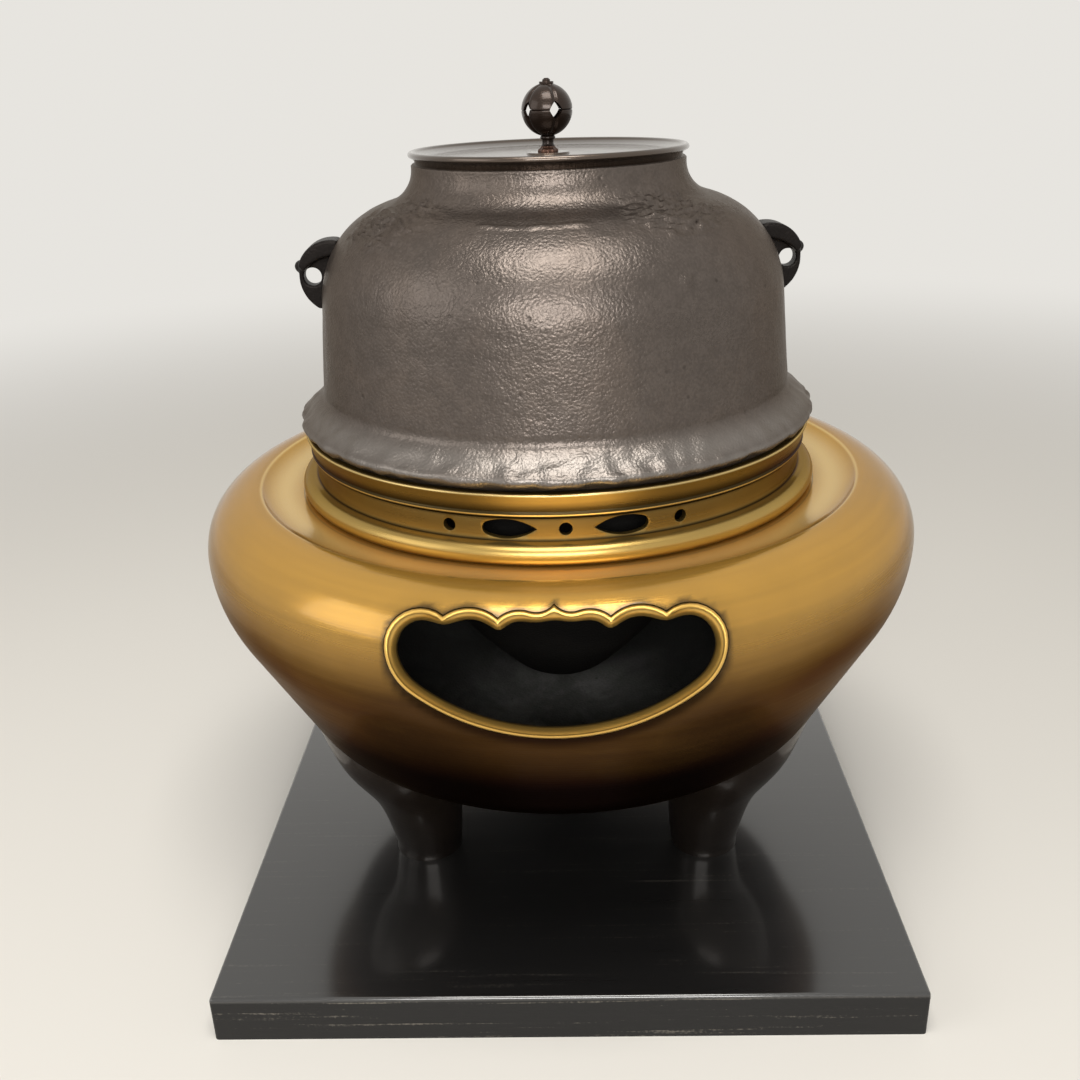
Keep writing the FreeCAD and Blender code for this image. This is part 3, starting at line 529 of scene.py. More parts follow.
@dataclass(frozen=True)
class Ring:
    """A ring about the axis: radius, height and width of its line, in millimetres."""

    radius: float
    height: float
    width: float


def new_finish(name: str) -> tuple[Material, Graph, Node, NodeSocket]:
    """Start a material.

    Args:
        name: name of the material.

    Returns:
        The material, its graph, its shader and the place on the piece.
    """
    material = bpy.data.materials.new(name)
    material.use_nodes = True
    graph = Graph(material.node_tree)
    shader = material.node_tree.nodes["Principled BSDF"]
    return material, graph, shader, graph.node("ShaderNodeTexCoord").outputs["Object"]


def lay_lines(graph: Graph, shared: SharedEffects, place: Any, colour: Any, rings: Sequence[Ring],
              paint: Colour, strength: float) -> Any:
    """Lay lines round the axis over a colour.

    Args:
        graph: graph of the material.
        shared: node groups.
        place: coordinates.
        colour: colour so far.
        rings: where the lines lie.
        paint: colour of the lines.
        strength: share of that colour.

    Returns:
        The colour with the lines.
    """
    for ring in rings:
        mask = graph.group(shared.ring_line, Place=place, Radius=ring.radius * MM,
                           Height=ring.height * MM, Width=ring.width * MM).outputs["Mask"]
        colour = graph.mix(graph.times(mask, strength), colour, paint)
    return colour


@dataclass(frozen=True)
class BronzeFinish:
    """Patinated bronze that goes from its dark colour at one height to its golden colour at another, broken
    by rubbed streaks and clouds; on the bowl the dark lower part is partly patina and partly painted shade
    and painted reflection, and on the collar the darker rim is painted reflection; heights are in
    millimetres.
    """

    name: str
    golden: Colour
    dark: Colour
    low: float
    high: float
    wear_and_highlight_colour: Colour = (0.9, 0.68, 0.3)
    rough: float = 0.3
    slope: float = 0.6
    metal: float = 0.9
    dark_metal: float = 0.9
    edge_tint: Colour = (1.0, 1.0, 1.0)
    specular: float = 0.5
    dark_rough: float = 0.0
    bump: float = 0.12
    coat: float = 0.2
    dark_coat: float = 0.2
    worn: tuple[Ring, ...] = ()
    crease_shade_rings: tuple[Ring, ...] = ()
    patina_and_shadow_band: Pair = (0.0, 0.0)
    shaded: bool = False

    MIDDLE: ClassVar[float] = 0.5
    STREAK_SPREAD: ClassVar[float] = 0.16
    CLOUD_SPREAD: ClassVar[float] = 0.3
    STREAK_TONE: ClassVar[tuple[float, ...]] = (0.3, 0.75, 0.92, 1.04)
    PATINA_AND_SHADOW_TONE: ClassVar[float] = 0.06
    PAINTED_SHADE_TONE: ClassVar[float] = 0.12
    CREASE_SHADE_SHARE: ClassVar[float] = 0.9
    WEAR_AND_HIGHLIGHT_SHARE: ClassVar[float] = 0.75
    SHADE_SHARE: ClassVar[float] = 0.85
    CLOUD_ROUGH: ClassVar[float] = 0.16
    SCRATCH_ROUGH: ClassVar[float] = 0.14
    FULL_METAL: ClassVar[float] = 0.6
    FULL_COAT: ClassVar[float] = 0.9
    COAT_ROUGH: ClassVar[float] = 0.12
    CLOUD_DEPTH: ClassVar[float] = 1.5
    BUMP_DISTANCE: ClassVar[float] = 0.0004

    def build(self, shared: SharedEffects) -> Material:
        """Build the material.

        Args:
            shared: node groups that the finishes share.

        Returns:
            The material.
        """
        material, graph, shader, place = new_finish(self.name)
        height = graph.node("ShaderNodeSeparateXYZ", Vector=place).outputs[2]
        rubbed = graph.group(shared.rubbed, Place=place, Slope=self.slope)
        streaks, clouds, scratches = (rubbed.outputs[name] for name in ("Streaks", "Clouds", "Scratches"))
        # Dark to golden by height, which on the bowl and collar paints shade and reflection in part.
        rise = graph.ramp(height, self.low * MM, self.high * MM)
        spread = graph.times(graph.minus(streaks, self.MIDDLE), self.STREAK_SPREAD)
        patch = graph.times(graph.minus(clouds, self.MIDDLE), self.CLOUD_SPREAD)
        share = graph.plus(rise, graph.plus(spread, patch), clamp=True)
        colour = graph.mix(share, self.dark, self.golden)
        tone = graph.ramp(streaks, *self.STREAK_TONE)
        # Darker still towards the bottom: patina together with painted shadow over the underside.
        if self.patina_and_shadow_band[1] > self.patina_and_shadow_band[0]:
            lit = graph.ramp(height, self.patina_and_shadow_band[0] * MM, self.patina_and_shadow_band[1] * MM, self.PATINA_AND_SHADOW_TONE, 1.0)
            tone = graph.times(tone, lit)
        colour = graph.dim(colour, tone)
        painted_shade_colour = tuple(self.PAINTED_SHADE_TONE * part for part in self.dark)
        # Painted shade in each crease ring, and below it the painted shade that the points carry.
        colour = lay_lines(graph, shared, place, colour, self.crease_shade_rings, painted_shade_colour, self.CREASE_SHADE_SHARE)
        # Bright worn lines, which on the bowl and collar also stand for painted highlights and a painted
        # reflection.
        colour = lay_lines(graph, shared, place, colour, self.worn, self.wear_and_highlight_colour, self.WEAR_AND_HIGHLIGHT_SHARE)
        if self.shaded:
            colour = graph.darken(colour, self.SHADE_SHARE, painted_shade_colour)
        graph.feed(shader.inputs["Base Color"], colour)
        rough = graph.plus(graph.times(clouds, self.CLOUD_ROUGH), self.rough - self.CLOUD_ROUGH / 2.0)
        rough = graph.plus(rough, graph.times(scratches, self.SCRATCH_ROUGH))
        rough = graph.plus(rough, graph.ramp(share, 0.0, 1.0, self.dark_rough, 0.0), clamp=True)
        graph.feed(shader.inputs["Roughness"], rough)
        metal = graph.ramp(share, 0.0, self.FULL_METAL, self.dark_metal, self.metal)
        graph.feed(shader.inputs["Metallic"], metal)
        coat = graph.ramp(share, 0.0, self.FULL_COAT, self.dark_coat, self.coat)
        graph.feed(shader.inputs["Coat Weight"], coat)
        shader.inputs["Specular IOR Level"].default_value = self.specular
        shader.inputs["Specular Tint"].default_value = (*self.edge_tint, 1.0)
        shader.inputs["Coat Roughness"].default_value = self.COAT_ROUGH
        relief = graph.plus(scratches, graph.times(clouds, self.CLOUD_DEPTH))
        graph.bump(shader, relief, self.bump, self.BUMP_DISTANCE)
        return material


@dataclass(frozen=True)
class IronFinish:
    """Cast iron with a pebbled skin."""

    name: str
    colour: Colour
    rust: Colour
    rough: float
    bump: float
    metal: float = 0.0
    worn: tuple[Ring, ...] = ()
    wear_and_highlight_colour: Colour = (0.4, 0.36, 0.32)
    edge_tint: Colour = (0.45, 0.41, 0.37)
    specular: float = 0.5
    shaded: bool = False

    RUST_CLOUDS: ClassVar[Pair] = (0.4, 0.7)
    RUST_SHARE: ClassVar[float] = 0.5
    GRAIN_TONE: ClassVar[tuple[float, ...]] = (0.42, 0.95, 0.88, 1.12)
    PIT_SHARE: ClassVar[float] = 0.5
    PIT_TONE: ClassVar[float] = 0.35
    WEAR_AND_HIGHLIGHT_SHARE: ClassVar[float] = 0.6
    SHADE_SHARE: ClassVar[float] = 0.9
    SHADE_TONE: ClassVar[float] = 0.1
    CLOUD_ROUGH: ClassVar[float] = 0.3
    PIT_DEPTH: ClassVar[float] = 0.5
    BUMP_DISTANCE: ClassVar[float] = 0.0009

    def build(self, shared: SharedEffects) -> Material:
        """Build the material.

        Args:
            shared: node groups that the finishes share.

        Returns:
            The material.
        """
        material, graph, shader, place = new_finish(self.name)
        skin = graph.group(shared.cast_skin, Place=place)
        grain, pits, clouds = (skin.outputs[name] for name in ("Grain", "Pits", "Clouds"))
        share = graph.times(graph.ramp(clouds, *self.RUST_CLOUDS), self.RUST_SHARE)
        colour = graph.mix(share, self.colour, self.rust)
        colour = graph.dim(colour, graph.ramp(grain, *self.GRAIN_TONE))
        pit_colour = tuple(self.PIT_TONE * part for part in self.colour)
        colour = graph.mix(graph.times(pits, self.PIT_SHARE), colour, pit_colour)
        # Bright worn lines, which on the kettle's skirt also stand for painted sheen.
        colour = lay_lines(graph, shared, place, colour, self.worn, self.wear_and_highlight_colour, self.WEAR_AND_HIGHLIGHT_SHARE)
        if self.shaded:
            shade_colour = tuple(self.SHADE_TONE * part for part in self.colour)
            colour = graph.darken(colour, self.SHADE_SHARE, shade_colour)
        graph.feed(shader.inputs["Base Color"], colour)
        rough = graph.plus(graph.times(clouds, self.CLOUD_ROUGH), self.rough - self.CLOUD_ROUGH / 2.0)
        graph.feed(shader.inputs["Roughness"], rough)
        shader.inputs["Specular IOR Level"].default_value = self.specular
        shader.inputs["Specular Tint"].default_value = (*self.edge_tint, 1.0)
        shader.inputs["Metallic"].default_value = self.metal
        relief = graph.minus(grain, graph.times(pits, self.PIT_DEPTH))
        graph.bump(shader, relief, self.bump, self.BUMP_DISTANCE)
        return material


@dataclass(frozen=True)
class LacquerFinish:
    """Black lacquer over wood: fine grain along X, rougher on the sawn edges; the top is in millimetres."""

    name: str
    colour: Colour
    worn: Colour
    rough: float
    top: float

    EDGE_BAND: ClassVar[Pair] = (2.2, 1.0)
    DUST_SHARE: ClassVar[float] = 0.25
    FLECKS: ClassVar[Pair] = (0.72, 0.86)
    TOP_FLECKS: ClassVar[float] = 0.12
    EDGE_FLECKS: ClassVar[float] = 0.5
    GRAIN_ROUGH: ClassVar[float] = 0.16
    EDGE_ROUGH: ClassVar[float] = 0.22
    BROAD_ROUGH: ClassVar[float] = 0.1
    TOP_DEPTH: ClassVar[float] = 0.25
    SPECULAR: ClassVar[float] = 0.35
    COAT_IOR: ClassVar[float] = 1.75
    COAT_ROUGH: ClassVar[float] = 0.13
    BUMP: ClassVar[float] = 0.25
    BUMP_DISTANCE: ClassVar[float] = 0.0005

    def build(self) -> Material:
        """Build the material.

        Returns:
            The material.
        """
        material, graph, shader, place = new_finish(self.name)
        height = graph.node("ShaderNodeSeparateXYZ", Vector=place).outputs[2]
        grain = graph.noise(graph.stretch(place, (9.0, 420.0, 420.0)), scale=1.0, detail=5.0, rough=0.65)
        broad = graph.noise(graph.stretch(place, (3.0, 60.0, 60.0)), scale=1.0, detail=4.0, rough=0.6)
        dust = graph.noise(place, scale=700.0, detail=2.0, rough=0.5)
        low, high = ((self.top - depth) * MM for depth in self.EDGE_BAND)
        edge = graph.ramp(height, low, high, 1.0, 0.0)
        flecks = graph.ramp(graph.plus(grain, graph.times(dust, self.DUST_SHARE)), *self.FLECKS)
        shown = graph.times(flecks, graph.plus(graph.times(edge, self.EDGE_FLECKS), self.TOP_FLECKS))
        graph.feed(shader.inputs["Base Color"], graph.mix(shown, self.colour, self.worn))
        rough = graph.plus(graph.times(grain, self.GRAIN_ROUGH), self.rough - self.GRAIN_ROUGH / 2.0)
        rough = graph.plus(rough, graph.times(edge, self.EDGE_ROUGH))
        rough = graph.plus(rough, graph.times(broad, self.BROAD_ROUGH))
        graph.feed(shader.inputs["Roughness"], rough)
        graph.feed(shader.inputs["Coat Weight"], graph.minus(1.0, edge))
        shader.inputs["Specular IOR Level"].default_value = self.SPECULAR
        shader.inputs["Coat IOR"].default_value = self.COAT_IOR
        shader.inputs["Coat Roughness"].default_value = self.COAT_ROUGH
        depth = graph.plus(graph.times(edge, 1.0 - self.TOP_DEPTH), self.TOP_DEPTH)
        graph.bump(shader, graph.times(grain, depth), self.BUMP, self.BUMP_DISTANCE)
        return material


@dataclass
class Finishes:
    """Every material of the object."""

    shared: SharedEffects = field(default_factory=SharedEffects)

    def __post_init__(self) -> None:
        """Build the materials."""
        self.build_brazier()
        self.build_kettle()
        self.build_lid()
        self.lacquer = LacquerFinish(
            "black_lacquer", colour=(0.0075, 0.0072, 0.0072), worn=(0.2, 0.18, 0.15), rough=0.26,
            top=21.0).build()

    def build_brazier(self) -> None:
        """Build the finishes of bowl, collar, window frame and feet."""
        # Bowl: the dark lower part is partly patina and partly painted shade and painted reflection, and the
        # darker band near the underside is patina with painted shadow; the wide pale ring on the dish is a
        # painted reflection, the thin one on the ridge is wear; the dark ring at the bead's foot is painted
        # shade, and the points' window_shade paints shade round the window.
        self.bowl = BronzeFinish(
            "bowl_bronze", golden=(0.54, 0.3, 0.055), dark=(0.085, 0.044, 0.019), low=150.0, high=197.0,
            rough=0.15, dark_rough=0.14, metal=0.74, dark_metal=0.92, edge_tint=(0.5, 0.4, 0.3),
            specular=0.15, coat=0.6, dark_coat=0.03, patina_and_shadow_band=(108.0, 140.0), shaded=True,
            worn=(Ring(121.0, 194.6, 12.0), Ring(131.6, 197.6, 1.1)),
            crease_shade_rings=(Ring(113.4, 193.7, 0.5),)).build(self.shared)
        # Inside of the bowl: grey ash and soot, made paler than soot so that the shaded hollow shows, which
        # is partly painted light; the points' window_shade paints a pool of light from the window on the
        # floor, darker towards the wall.
        self.soot = IronFinish(
            "bowl_soot", colour=(0.22, 0.22, 0.21), rust=(0.6, 0.6, 0.58), rough=0.8, bump=0.3,
            shaded=True).build(self.shared)
        # Collar: the darker rim at the top is painted reflection of the dark surroundings; the dark rings in
        # the grooves, at the bead's foot and under the rim's roll are painted shade; the bright rings on the
        # rim's top and roll are partly wear and partly painted highlight.
        self.collar = BronzeFinish(
            "collar_bronze", golden=(0.5, 0.335, 0.1), dark=(0.19, 0.128, 0.04), low=208.0, high=197.0,
            rough=0.24, edge_tint=(0.4, 0.3, 0.2), coat=0.2, dark_coat=0.1,
            worn=(Ring(109.4, 221.0, 1.0), Ring(108.2, 212.7, 0.5)),
            crease_shade_rings=(Ring(106.4, 202.1, 1.3), Ring(106.2, 211.3, 1.5), Ring(108.0, 213.8, 4.5),
                     Ring(112.4, 194.0, 1.0))).build(self.shared)
        self.window = BronzeFinish(
            "window_bronze", golden=(0.72, 0.45, 0.11), dark=(0.64, 0.38, 0.085), low=90.0, high=175.0,
            rough=0.26, metal=0.85, dark_metal=0.8, bump=0.03, shaded=True).build(self.shared)
        self.foot = BronzeFinish(
            "foot_bronze", golden=(0.022, 0.014, 0.009), dark=(0.008, 0.006, 0.005), low=15.0,
            high=130.0, rough=0.28, metal=0.5, dark_metal=0.4, edge_tint=(0.5, 0.45, 0.4), coat=0.5,
            dark_coat=0.4).build(self.shared)

    def build_kettle(self) -> None:
        """Build the finishes of the kettle, its bottom and its lugs."""
        # Kettle: the bright rings over the skirt and its edge are partly wear and partly painted sheen.
        self.kettle = IronFinish(
            "kettle_iron", colour=(0.108, 0.091, 0.081), rust=(0.124, 0.1, 0.085), rough=0.31, bump=0.3,
            metal=0.8, worn=(Ring(106.8, 231.5, 11.0), Ring(110.6, 226.0, 2.2)),
            wear_and_highlight_colour=(0.24, 0.222, 0.205)).build(self.shared)
        self.bottom = IronFinish(
            "bottom_iron", colour=(0.006, 0.006, 0.006), rust=(0.012, 0.011, 0.01), rough=0.8,
            bump=0.4).build(self.shared)
        self.lug = IronFinish(
            "lug_iron", colour=(0.009, 0.008, 0.008), rust=(0.016, 0.013, 0.012), rough=0.36, bump=0.16,
            metal=0.1, specular=0.16).build(self.shared)

    def build_lid(self) -> None:
        """Build the finishes of the lid and its knob."""
        self.lid = BronzeFinish(
            "lid_bronze", golden=(0.085, 0.06, 0.043), dark=(0.05, 0.034, 0.025), low=300.0, high=345.0,
            rough=0.16, slope=6.0, coat=0.9, dark_coat=0.6).build(self.shared)
        self.copper = BronzeFinish(
            "seat_copper", golden=(0.09, 0.045, 0.03), dark=(0.055, 0.03, 0.02), low=300.0, high=336.0,
            rough=0.4).build(self.shared)
        self.knob = BronzeFinish(
            "knob_bronze", golden=(0.034, 0.021, 0.015), dark=(0.014, 0.009, 0.007), low=325.0,
            high=365.0, rough=0.2, metal=0.6, dark_metal=0.5, specular=0.25, coat=0.3,
            dark_coat=0.2).build(self.shared)


@dataclass
class FireWindow:
    """Scalloped fire window: its outline on a tilted plane, and the raised frame in it, in millimetres.

    A round of the outline is given as the place and radius of its circle. A point of the frame's section
    is given as its inset, its stand off the wall and its shade.
    """

    tilt: float = 25.0
    reach: float = 150.0
    rise: float = 155.0
    lobe: Triple = (46.0, 6.0, 13.0)
    flank_round: float = 21.0
    scallop: Triple = (29.2, 3.5, 15.3)
    ogee: Triple = (12.0, 6.9, 10.7)
    peak_rise: float = 19.2
    peak_round: float = 8.0
    depth: float = 27.6
    gap: float = 0.35
    cut: Pair = (-35.0, 40.0)
    # The shade of each point is painted shade: darkest in the groove behind the lip, at the frame's outer
    # foot and on the faces that sink into the wall.
    section: tuple[Triple, ...] = (
        (-1.7, -6.2, 1.0), (-1.7, -4.4, 1.0), (0.0, -4.4, 1.0), (0.0, 0.6, 0.7), (0.12, 1.15, 0.1),
        (0.45, 1.55, 0.0), (0.85, 1.65, 0.0), (1.2, 1.5, 0.0), (1.4, 1.2, 0.3), (1.5, 0.95, 0.9),
        (1.65, 0.75, 0.5), (2.15, 0.0, 0.0), (2.65, -0.95, 0.0), (3.0, -2.0, 0.0), (3.3, -3.2, 0.1),
        (3.45, -3.8, 0.7), (3.45, -6.2, 1.0))
    cusp_ease: float = 2.0
    cusp_start: float = 1.0
    ogee_steps: int = 8
    peak_steps: int = 6
    sill_steps: int = 48
    arc_steps: int = 10

    @staticmethod
    def crossing(first: Triple, second: Triple) -> Pair:
        """Find the upper crossing point of two circles.

        Args:
            first: first circle, as its place across and upwards and its radius.
            second: second circle.

        Returns:
            The crossing point, across and upwards.
        """
        across, up = second[0] - first[0], second[1] - first[1]
        span = math.hypot(across, up)
        along = (first[2] ** 2 - second[2] ** 2 + span**2) / (2.0 * span)
        off = math.sqrt(first[2] ** 2 - along**2)
        return first[0] + (across * along + up * off) / span, first[1] + (up * along - across * off) / span

    def blunt(self, loop: Sequence[BMVert], inset: float) -> None:
        """Round the cusps of a loop, the more the further in it lies.

        Args:
            loop: corners of the loop in order.
            inset: distance that the loop lies inwards.
        """
        for _ in range(round(self.cusp_ease * max(0.0, inset - self.cusp_start))):
            places = [vertex.co.copy() for vertex in loop]
            befores, afters = places[-1:] + places[:-1], places[1:] + places[:1]
            for vertex, before, here, after in zip(loop, befores, places, afters):
                vertex.co = here / 2.0 + (before + after) / 4.0

    def outline(self, inset: float, mesh: Optional[BMesh] = None) -> Outline:
        """Draw the outline without closing it, in the XZ plane.

        Args:
            inset: distance moved inwards.
            mesh: mesh to draw in.

        Returns:
            The outline, whose tip meets its start.
        """
        lobe, scallop, ogee = ((x, z, size - inset) for x, z, size in (self.lobe, self.scallop, self.ogee))
        reach = self.ogee[2] + self.peak_round
        up = self.peak_rise - self.ogee[1]
        span = math.hypot(up, self.ogee[0])
        along = (reach**2 - self.peak_round**2 + span**2) / (2.0 * span)
        off = math.sqrt(reach**2 - along**2)
        hollow_x = self.ogee[0] + (up * off - self.ogee[0] * along) / span
        hollow_z = self.ogee[1] + (self.ogee[0] * off + up * along) / span
        hollow = self.peak_round + inset
        peak_z = hollow_z - math.sqrt(hollow**2 - hollow_x**2)
        side = lobe[0] + lobe[2]
        flank_x = self.lobe[0] + self.lobe[2] - self.flank_round
        flank = self.flank_round - inset
        drop = self.depth - self.flank_round
        sill_z = (flank_x**2 + lobe[1] ** 2 - drop**2) / (2.0 * (drop + lobe[1]))
        sill = sill_z + self.depth - inset
        reach_out = math.hypot(flank_x, lobe[1] - sill_z)
        foot = (flank_x * sill / reach_out, sill_z + (lobe[1] - sill_z) * sill / reach_out)
        lean = math.hypot(hollow_x - ogee[0], hollow_z - ogee[1])
        tip_x = ogee[0] + (hollow_x - ogee[0]) * ogee[2] / lean
        tip_z = ogee[1] + (hollow_z - ogee[1]) * ogee[2] / lean
        outer, inner = self.crossing(lobe, scallop), self.crossing(scallop, ogee)
        wire = Outline(*foot, mesh)
        wire.bend(side, lobe[1], flank, steps=self.arc_steps)
        wire.bend(*outer, lobe[2], steps=self.arc_steps)
        wire.bend(*inner, scallop[2], steps=self.arc_steps)
        wire.bend(tip_x, tip_z, ogee[2], steps=self.ogee_steps)
        wire.bend(0.0, peak_z, hollow, left=True, steps=self.peak_steps)
        wire.bend(-tip_x, tip_z, hollow, left=True, steps=self.peak_steps)
        wire.bend(-inner[0], inner[1], ogee[2], steps=self.ogee_steps)
        wire.bend(-outer[0], outer[1], scallop[2], steps=self.arc_steps)
        wire.bend(-side, lobe[1], lobe[2], steps=self.arc_steps)
        wire.bend(-foot[0], foot[1], flank, steps=self.arc_steps)
        return wire.bend(*foot, sill, steps=self.sill_steps)

    def corners(self) -> list[Vector]:
        """Find the outline's corners in its own plane.

        Returns:
            The corners in order.
        """
        wire = self.outline(0.0)
        places = [vertex.co.copy() for vertex in wire.path]
        wire.mesh.free()
        return places

    def to_place(self) -> Matrix:
        """Matrix that brings the outline's plane to the bowl."""
        turn = Matrix.Rotation(-math.radians(self.tilt), 4, "X")
        return Matrix.Translation((0.0, -self.reach, self.rise)) @ turn

    def cutter(self) -> BMesh:
        """Block that cuts the hole of the window, a little wider than the frame.

        Returns:
            The block, above the board.
        """
        wire = self.outline(-self.gap)
        wire.close()
        return move(prism(wire, *self.cut), self.to_place())


@dataclass
class Brazier:
    """Bronze brazier: bowl, window frame, collar and feet, in millimetres above the board.

    A bend is given as its end across, its end upwards and its radius. A foot's section is given as its
    height, the distance of its middle from the axis and its radius.
    """

    finishes: Finishes
    floor: float = 21.0
    window: FireWindow = field(default_factory=FireWindow)
    turns: int = 360
    belly_height: float = 152.0
    shoulder_centre: float = 132.0
    shoulder_round: float = 25.0
    belly_centre: float = 96.0
    belly_round: float = 61.0
    lean: float = 28.5
    knuckle_height: float = 75.0
    knuckle_step: float = 8.0
    knuckle_round: float = 22.0
    underside_height: float = 30.5
    underside_rise: float = 36.8
    wall: float = 4.0
    lip: Triple = (1.2, 0.7, 1.6)
    dish_rim: Triple = (5.5, 2.9, 9.0)
    dish_foot: Triple = (114.6, 0.1, 60.0)
    dish_edge: float = 113.2
    dish_height: float = 172.6
    roof_round: float = 12.0
    mouth: float = 103.0
    wall_search: Pair = (-45.0, 30.0)
    search_steps: int = 40
    # Painted shade round the window: a dark line in the crease by the frame, wider at the bottom, and a soft
    # halo.
    shade_field: float = 90.0
    shade_reach: Pair = (2.2, 2.6)
    shade_heights: Pair = (5.0, -15.0)
    shade_core: float = 0.35
    shade_halo: float = 9.0
    shade_shares: Pair = (0.85, 0.15)
    # Painted pool of light on the inner floor, where light falls in through the window.
    light_pool_facing: float = 0.3
    light_pool_top: float = 100.0
    light_pool_middle: float = 12.0
    light_pool_fade: Pair = (25.0, 85.0)
    skin_share: float = 0.6
    roof_share: float = 0.5
    under_facing: float = -0.2
    collar_bore: float = 99.5
    collar_spigot: Pair = (102.7, 166.1)
    bead_foot: float = 108.6
    bead: tuple[Triple, Triple] = ((113.2, 176.8, 4.4), (109.0, 181.0, 4.2))
    band: Pair = (106.5, 189.8)
    groove: tuple[Pair, Pair] = ((106.0, 190.3), (106.6, 190.7))
    roll: tuple[Triple, Triple] = ((108.3, 191.8, 1.2), (107.9, 192.9, 0.9))
    flare: Triple = (109.8, 199.4, 26.0)
    rim: Triple = (109.0, 200.2, 0.8)
    band_bore: float = 103.9
    bore_heights: tuple[float, ...] = (195.5, 191.5, 179.0, 175.0)
    collar_ease: float = 0.55
    ease_angle: float = 58.0
    vent_turn: float = 2.3
    vent_height: float = 185.7
    vent_radius: float = 2.5
    vent_spread: float = 23.8
    vent_depth: float = 9.0
    leaf_spread: float = 11.2
    leaf_tip: float = -10.3
    leaf_nose: float = 10.3
    leaf_nose_round: float = 2.9
    leaf_side_round: float = 20.0
    leaf_side_end: Pair = (8.38, 2.71)
    leaf_steps: int = 14
    foot_sections: tuple[Triple, ...] = (
        (0.0, 79.0, 15.3), (7.0, 79.0, 16.0), (30.0, 82.0, 20.0), (55.0, 89.6, 27.6), (87.0, 97.5, 30.6))
    feet: tuple[tuple[str, float], ...] = (
        ("foot_front_left", 214.0), ("foot_front_right", 326.0), ("foot_rear", 90.0))
    foot_rings: int = 28
    foot_sides: int = 64

    def belly_end(self, offset: float) -> Pair:
        """Lower end of the belly's arc on a surface offset outwards."""
        size, lean = self.belly_round + offset, math.radians(self.lean)
        return self.belly_centre + size * math.cos(lean), self.belly_height - size * math.sin(lean)

    def knuckle(self, offset: float) -> Pair:
        """Lower end of the straight wall on a surface offset outwards.

        Args:
            offset: distance of the surface outwards.

        Returns:
            Radius and height of the end.
        """
        radius, height = self.belly_end(offset)
        run = (height - self.knuckle_height) * math.tan(math.radians(self.lean))
        return radius - run, self.knuckle_height

    def underside(self, offset: float) -> Triple:
        """Form of the underside, offset outwards.

        Args:
            offset: distance of the surface outwards.

        Returns:
            Radius and height of its edge, and the radius of its dome.
        """
        base = self.knuckle(0.0)[0] - self.knuckle_step
        dome = (base**2 / self.underside_rise + self.underside_rise) / 2.0
        edge = self.knuckle(offset)[0] - self.knuckle_step
        size = dome + offset
        return edge, self.underside_height + dome - math.sqrt(size**2 - edge**2), size

    def wall_radius(self, height: float, offset: float) -> float:
        """Radius of the wall at a height, on a surface offset outwards.

        Args:
            height: height above the board.
            offset: distance of the surface outwards.

        Returns:
            The radius.
        """
        up = height - self.belly_height
        if up >= 0.0:
            return self.shoulder_centre + math.sqrt(max((self.shoulder_round + offset) ** 2 - up**2, 0.0))
        radius, low = self.belly_end(offset)
        if height >= low:
            return self.belly_centre + math.sqrt((self.belly_round + offset) ** 2 - up**2)
        return radius - (low - height) * math.tan(math.radians(self.lean))

    def on_wall(self, x: float, z: float, stand: float) -> Vector:
        """Bring a point of the window's plane onto the wall.

        Args:
            x: place across in the window's plane.
            z: place upwards in the window's plane.
            stand: distance that the point stands off the wall.

        Returns:
            The point, above the board.
        """
        place = self.window.to_place()
        base = place @ Vector((x, 0.0, z))
        out = (place.to_3x3() @ Vector((0.0, -1.0, 0.0))).normalized()
        near, far = self.wall_search
        for _ in range(self.search_steps):
            middle = (near + far) / 2.0
            point = base + out * middle
            below = point.z < self.belly_height + self.shoulder_round + stand
            if below and math.hypot(point.x, point.y) < self.wall_radius(point.z, stand):
                near = middle
            else:
                far = middle
        return base + out * near

    def bowl_outline(self, filled: bool) -> Outline:
        """Draw half the section of the bowl, hollow or as a full block.

        Args:
            filled: whether the section is a full block.

        Returns:
            The outline.
        """
        wire = Outline(0.0, self.underside_height)
        edge, edge_height, dome = self.underside(0.0)
        wire.bend(edge, edge_height, dome, steps=20)
        wire.bend(*self.knuckle(0.0), self.knuckle_round, steps=6)
        wire.line(*self.belly_end(0.0), cuts=17)
        widest = self.shoulder_centre + self.shoulder_round
        wire.bend(widest, self.belly_height, self.belly_round, steps=14)
        ridge = self.belly_height + self.shoulder_round
        wire.bend(self.shoulder_centre, ridge, self.shoulder_round, steps=20)
        if filled:
            return wire.line(0.0, ridge)
        across, down, size = self.lip
        wire.bend(self.shoulder_centre - across, ridge - down, size, steps=3)
        across, down, size = self.dish_rim
        wire.bend(self.shoulder_centre - across, ridge - down, size, left=True, steps=4)
        across, up, size = self.dish_foot
        wire.bend(across, self.dish_height + up, size, left=True, steps=8)
        wire.line(self.dish_edge, self.dish_height).line(self.mouth, self.dish_height, cuts=2)
        roof = self.dish_height - self.wall
        wire.line(self.mouth, roof).line(self.shoulder_centre - self.wall, roof, cuts=5)
        wire.bend(self.shoulder_centre, ridge - self.wall, self.roof_round, left=True, steps=3)
        inner = self.shoulder_round - self.wall
        wire.bend(widest - self.wall, self.belly_height, inner, left=True, steps=14)
        wire.bend(*self.belly_end(-self.wall), self.belly_round - self.wall, left=True, steps=10)
        wire.line(*self.knuckle(-self.wall), cuts=12)
        edge, edge_height, dome = self.underside(-self.wall)
        wire.bend(edge, edge_height, self.knuckle_round - self.wall, left=True, steps=5)
        return wire.bend(0.0, self.underside_height + self.wall, dome, left=True, steps=16)

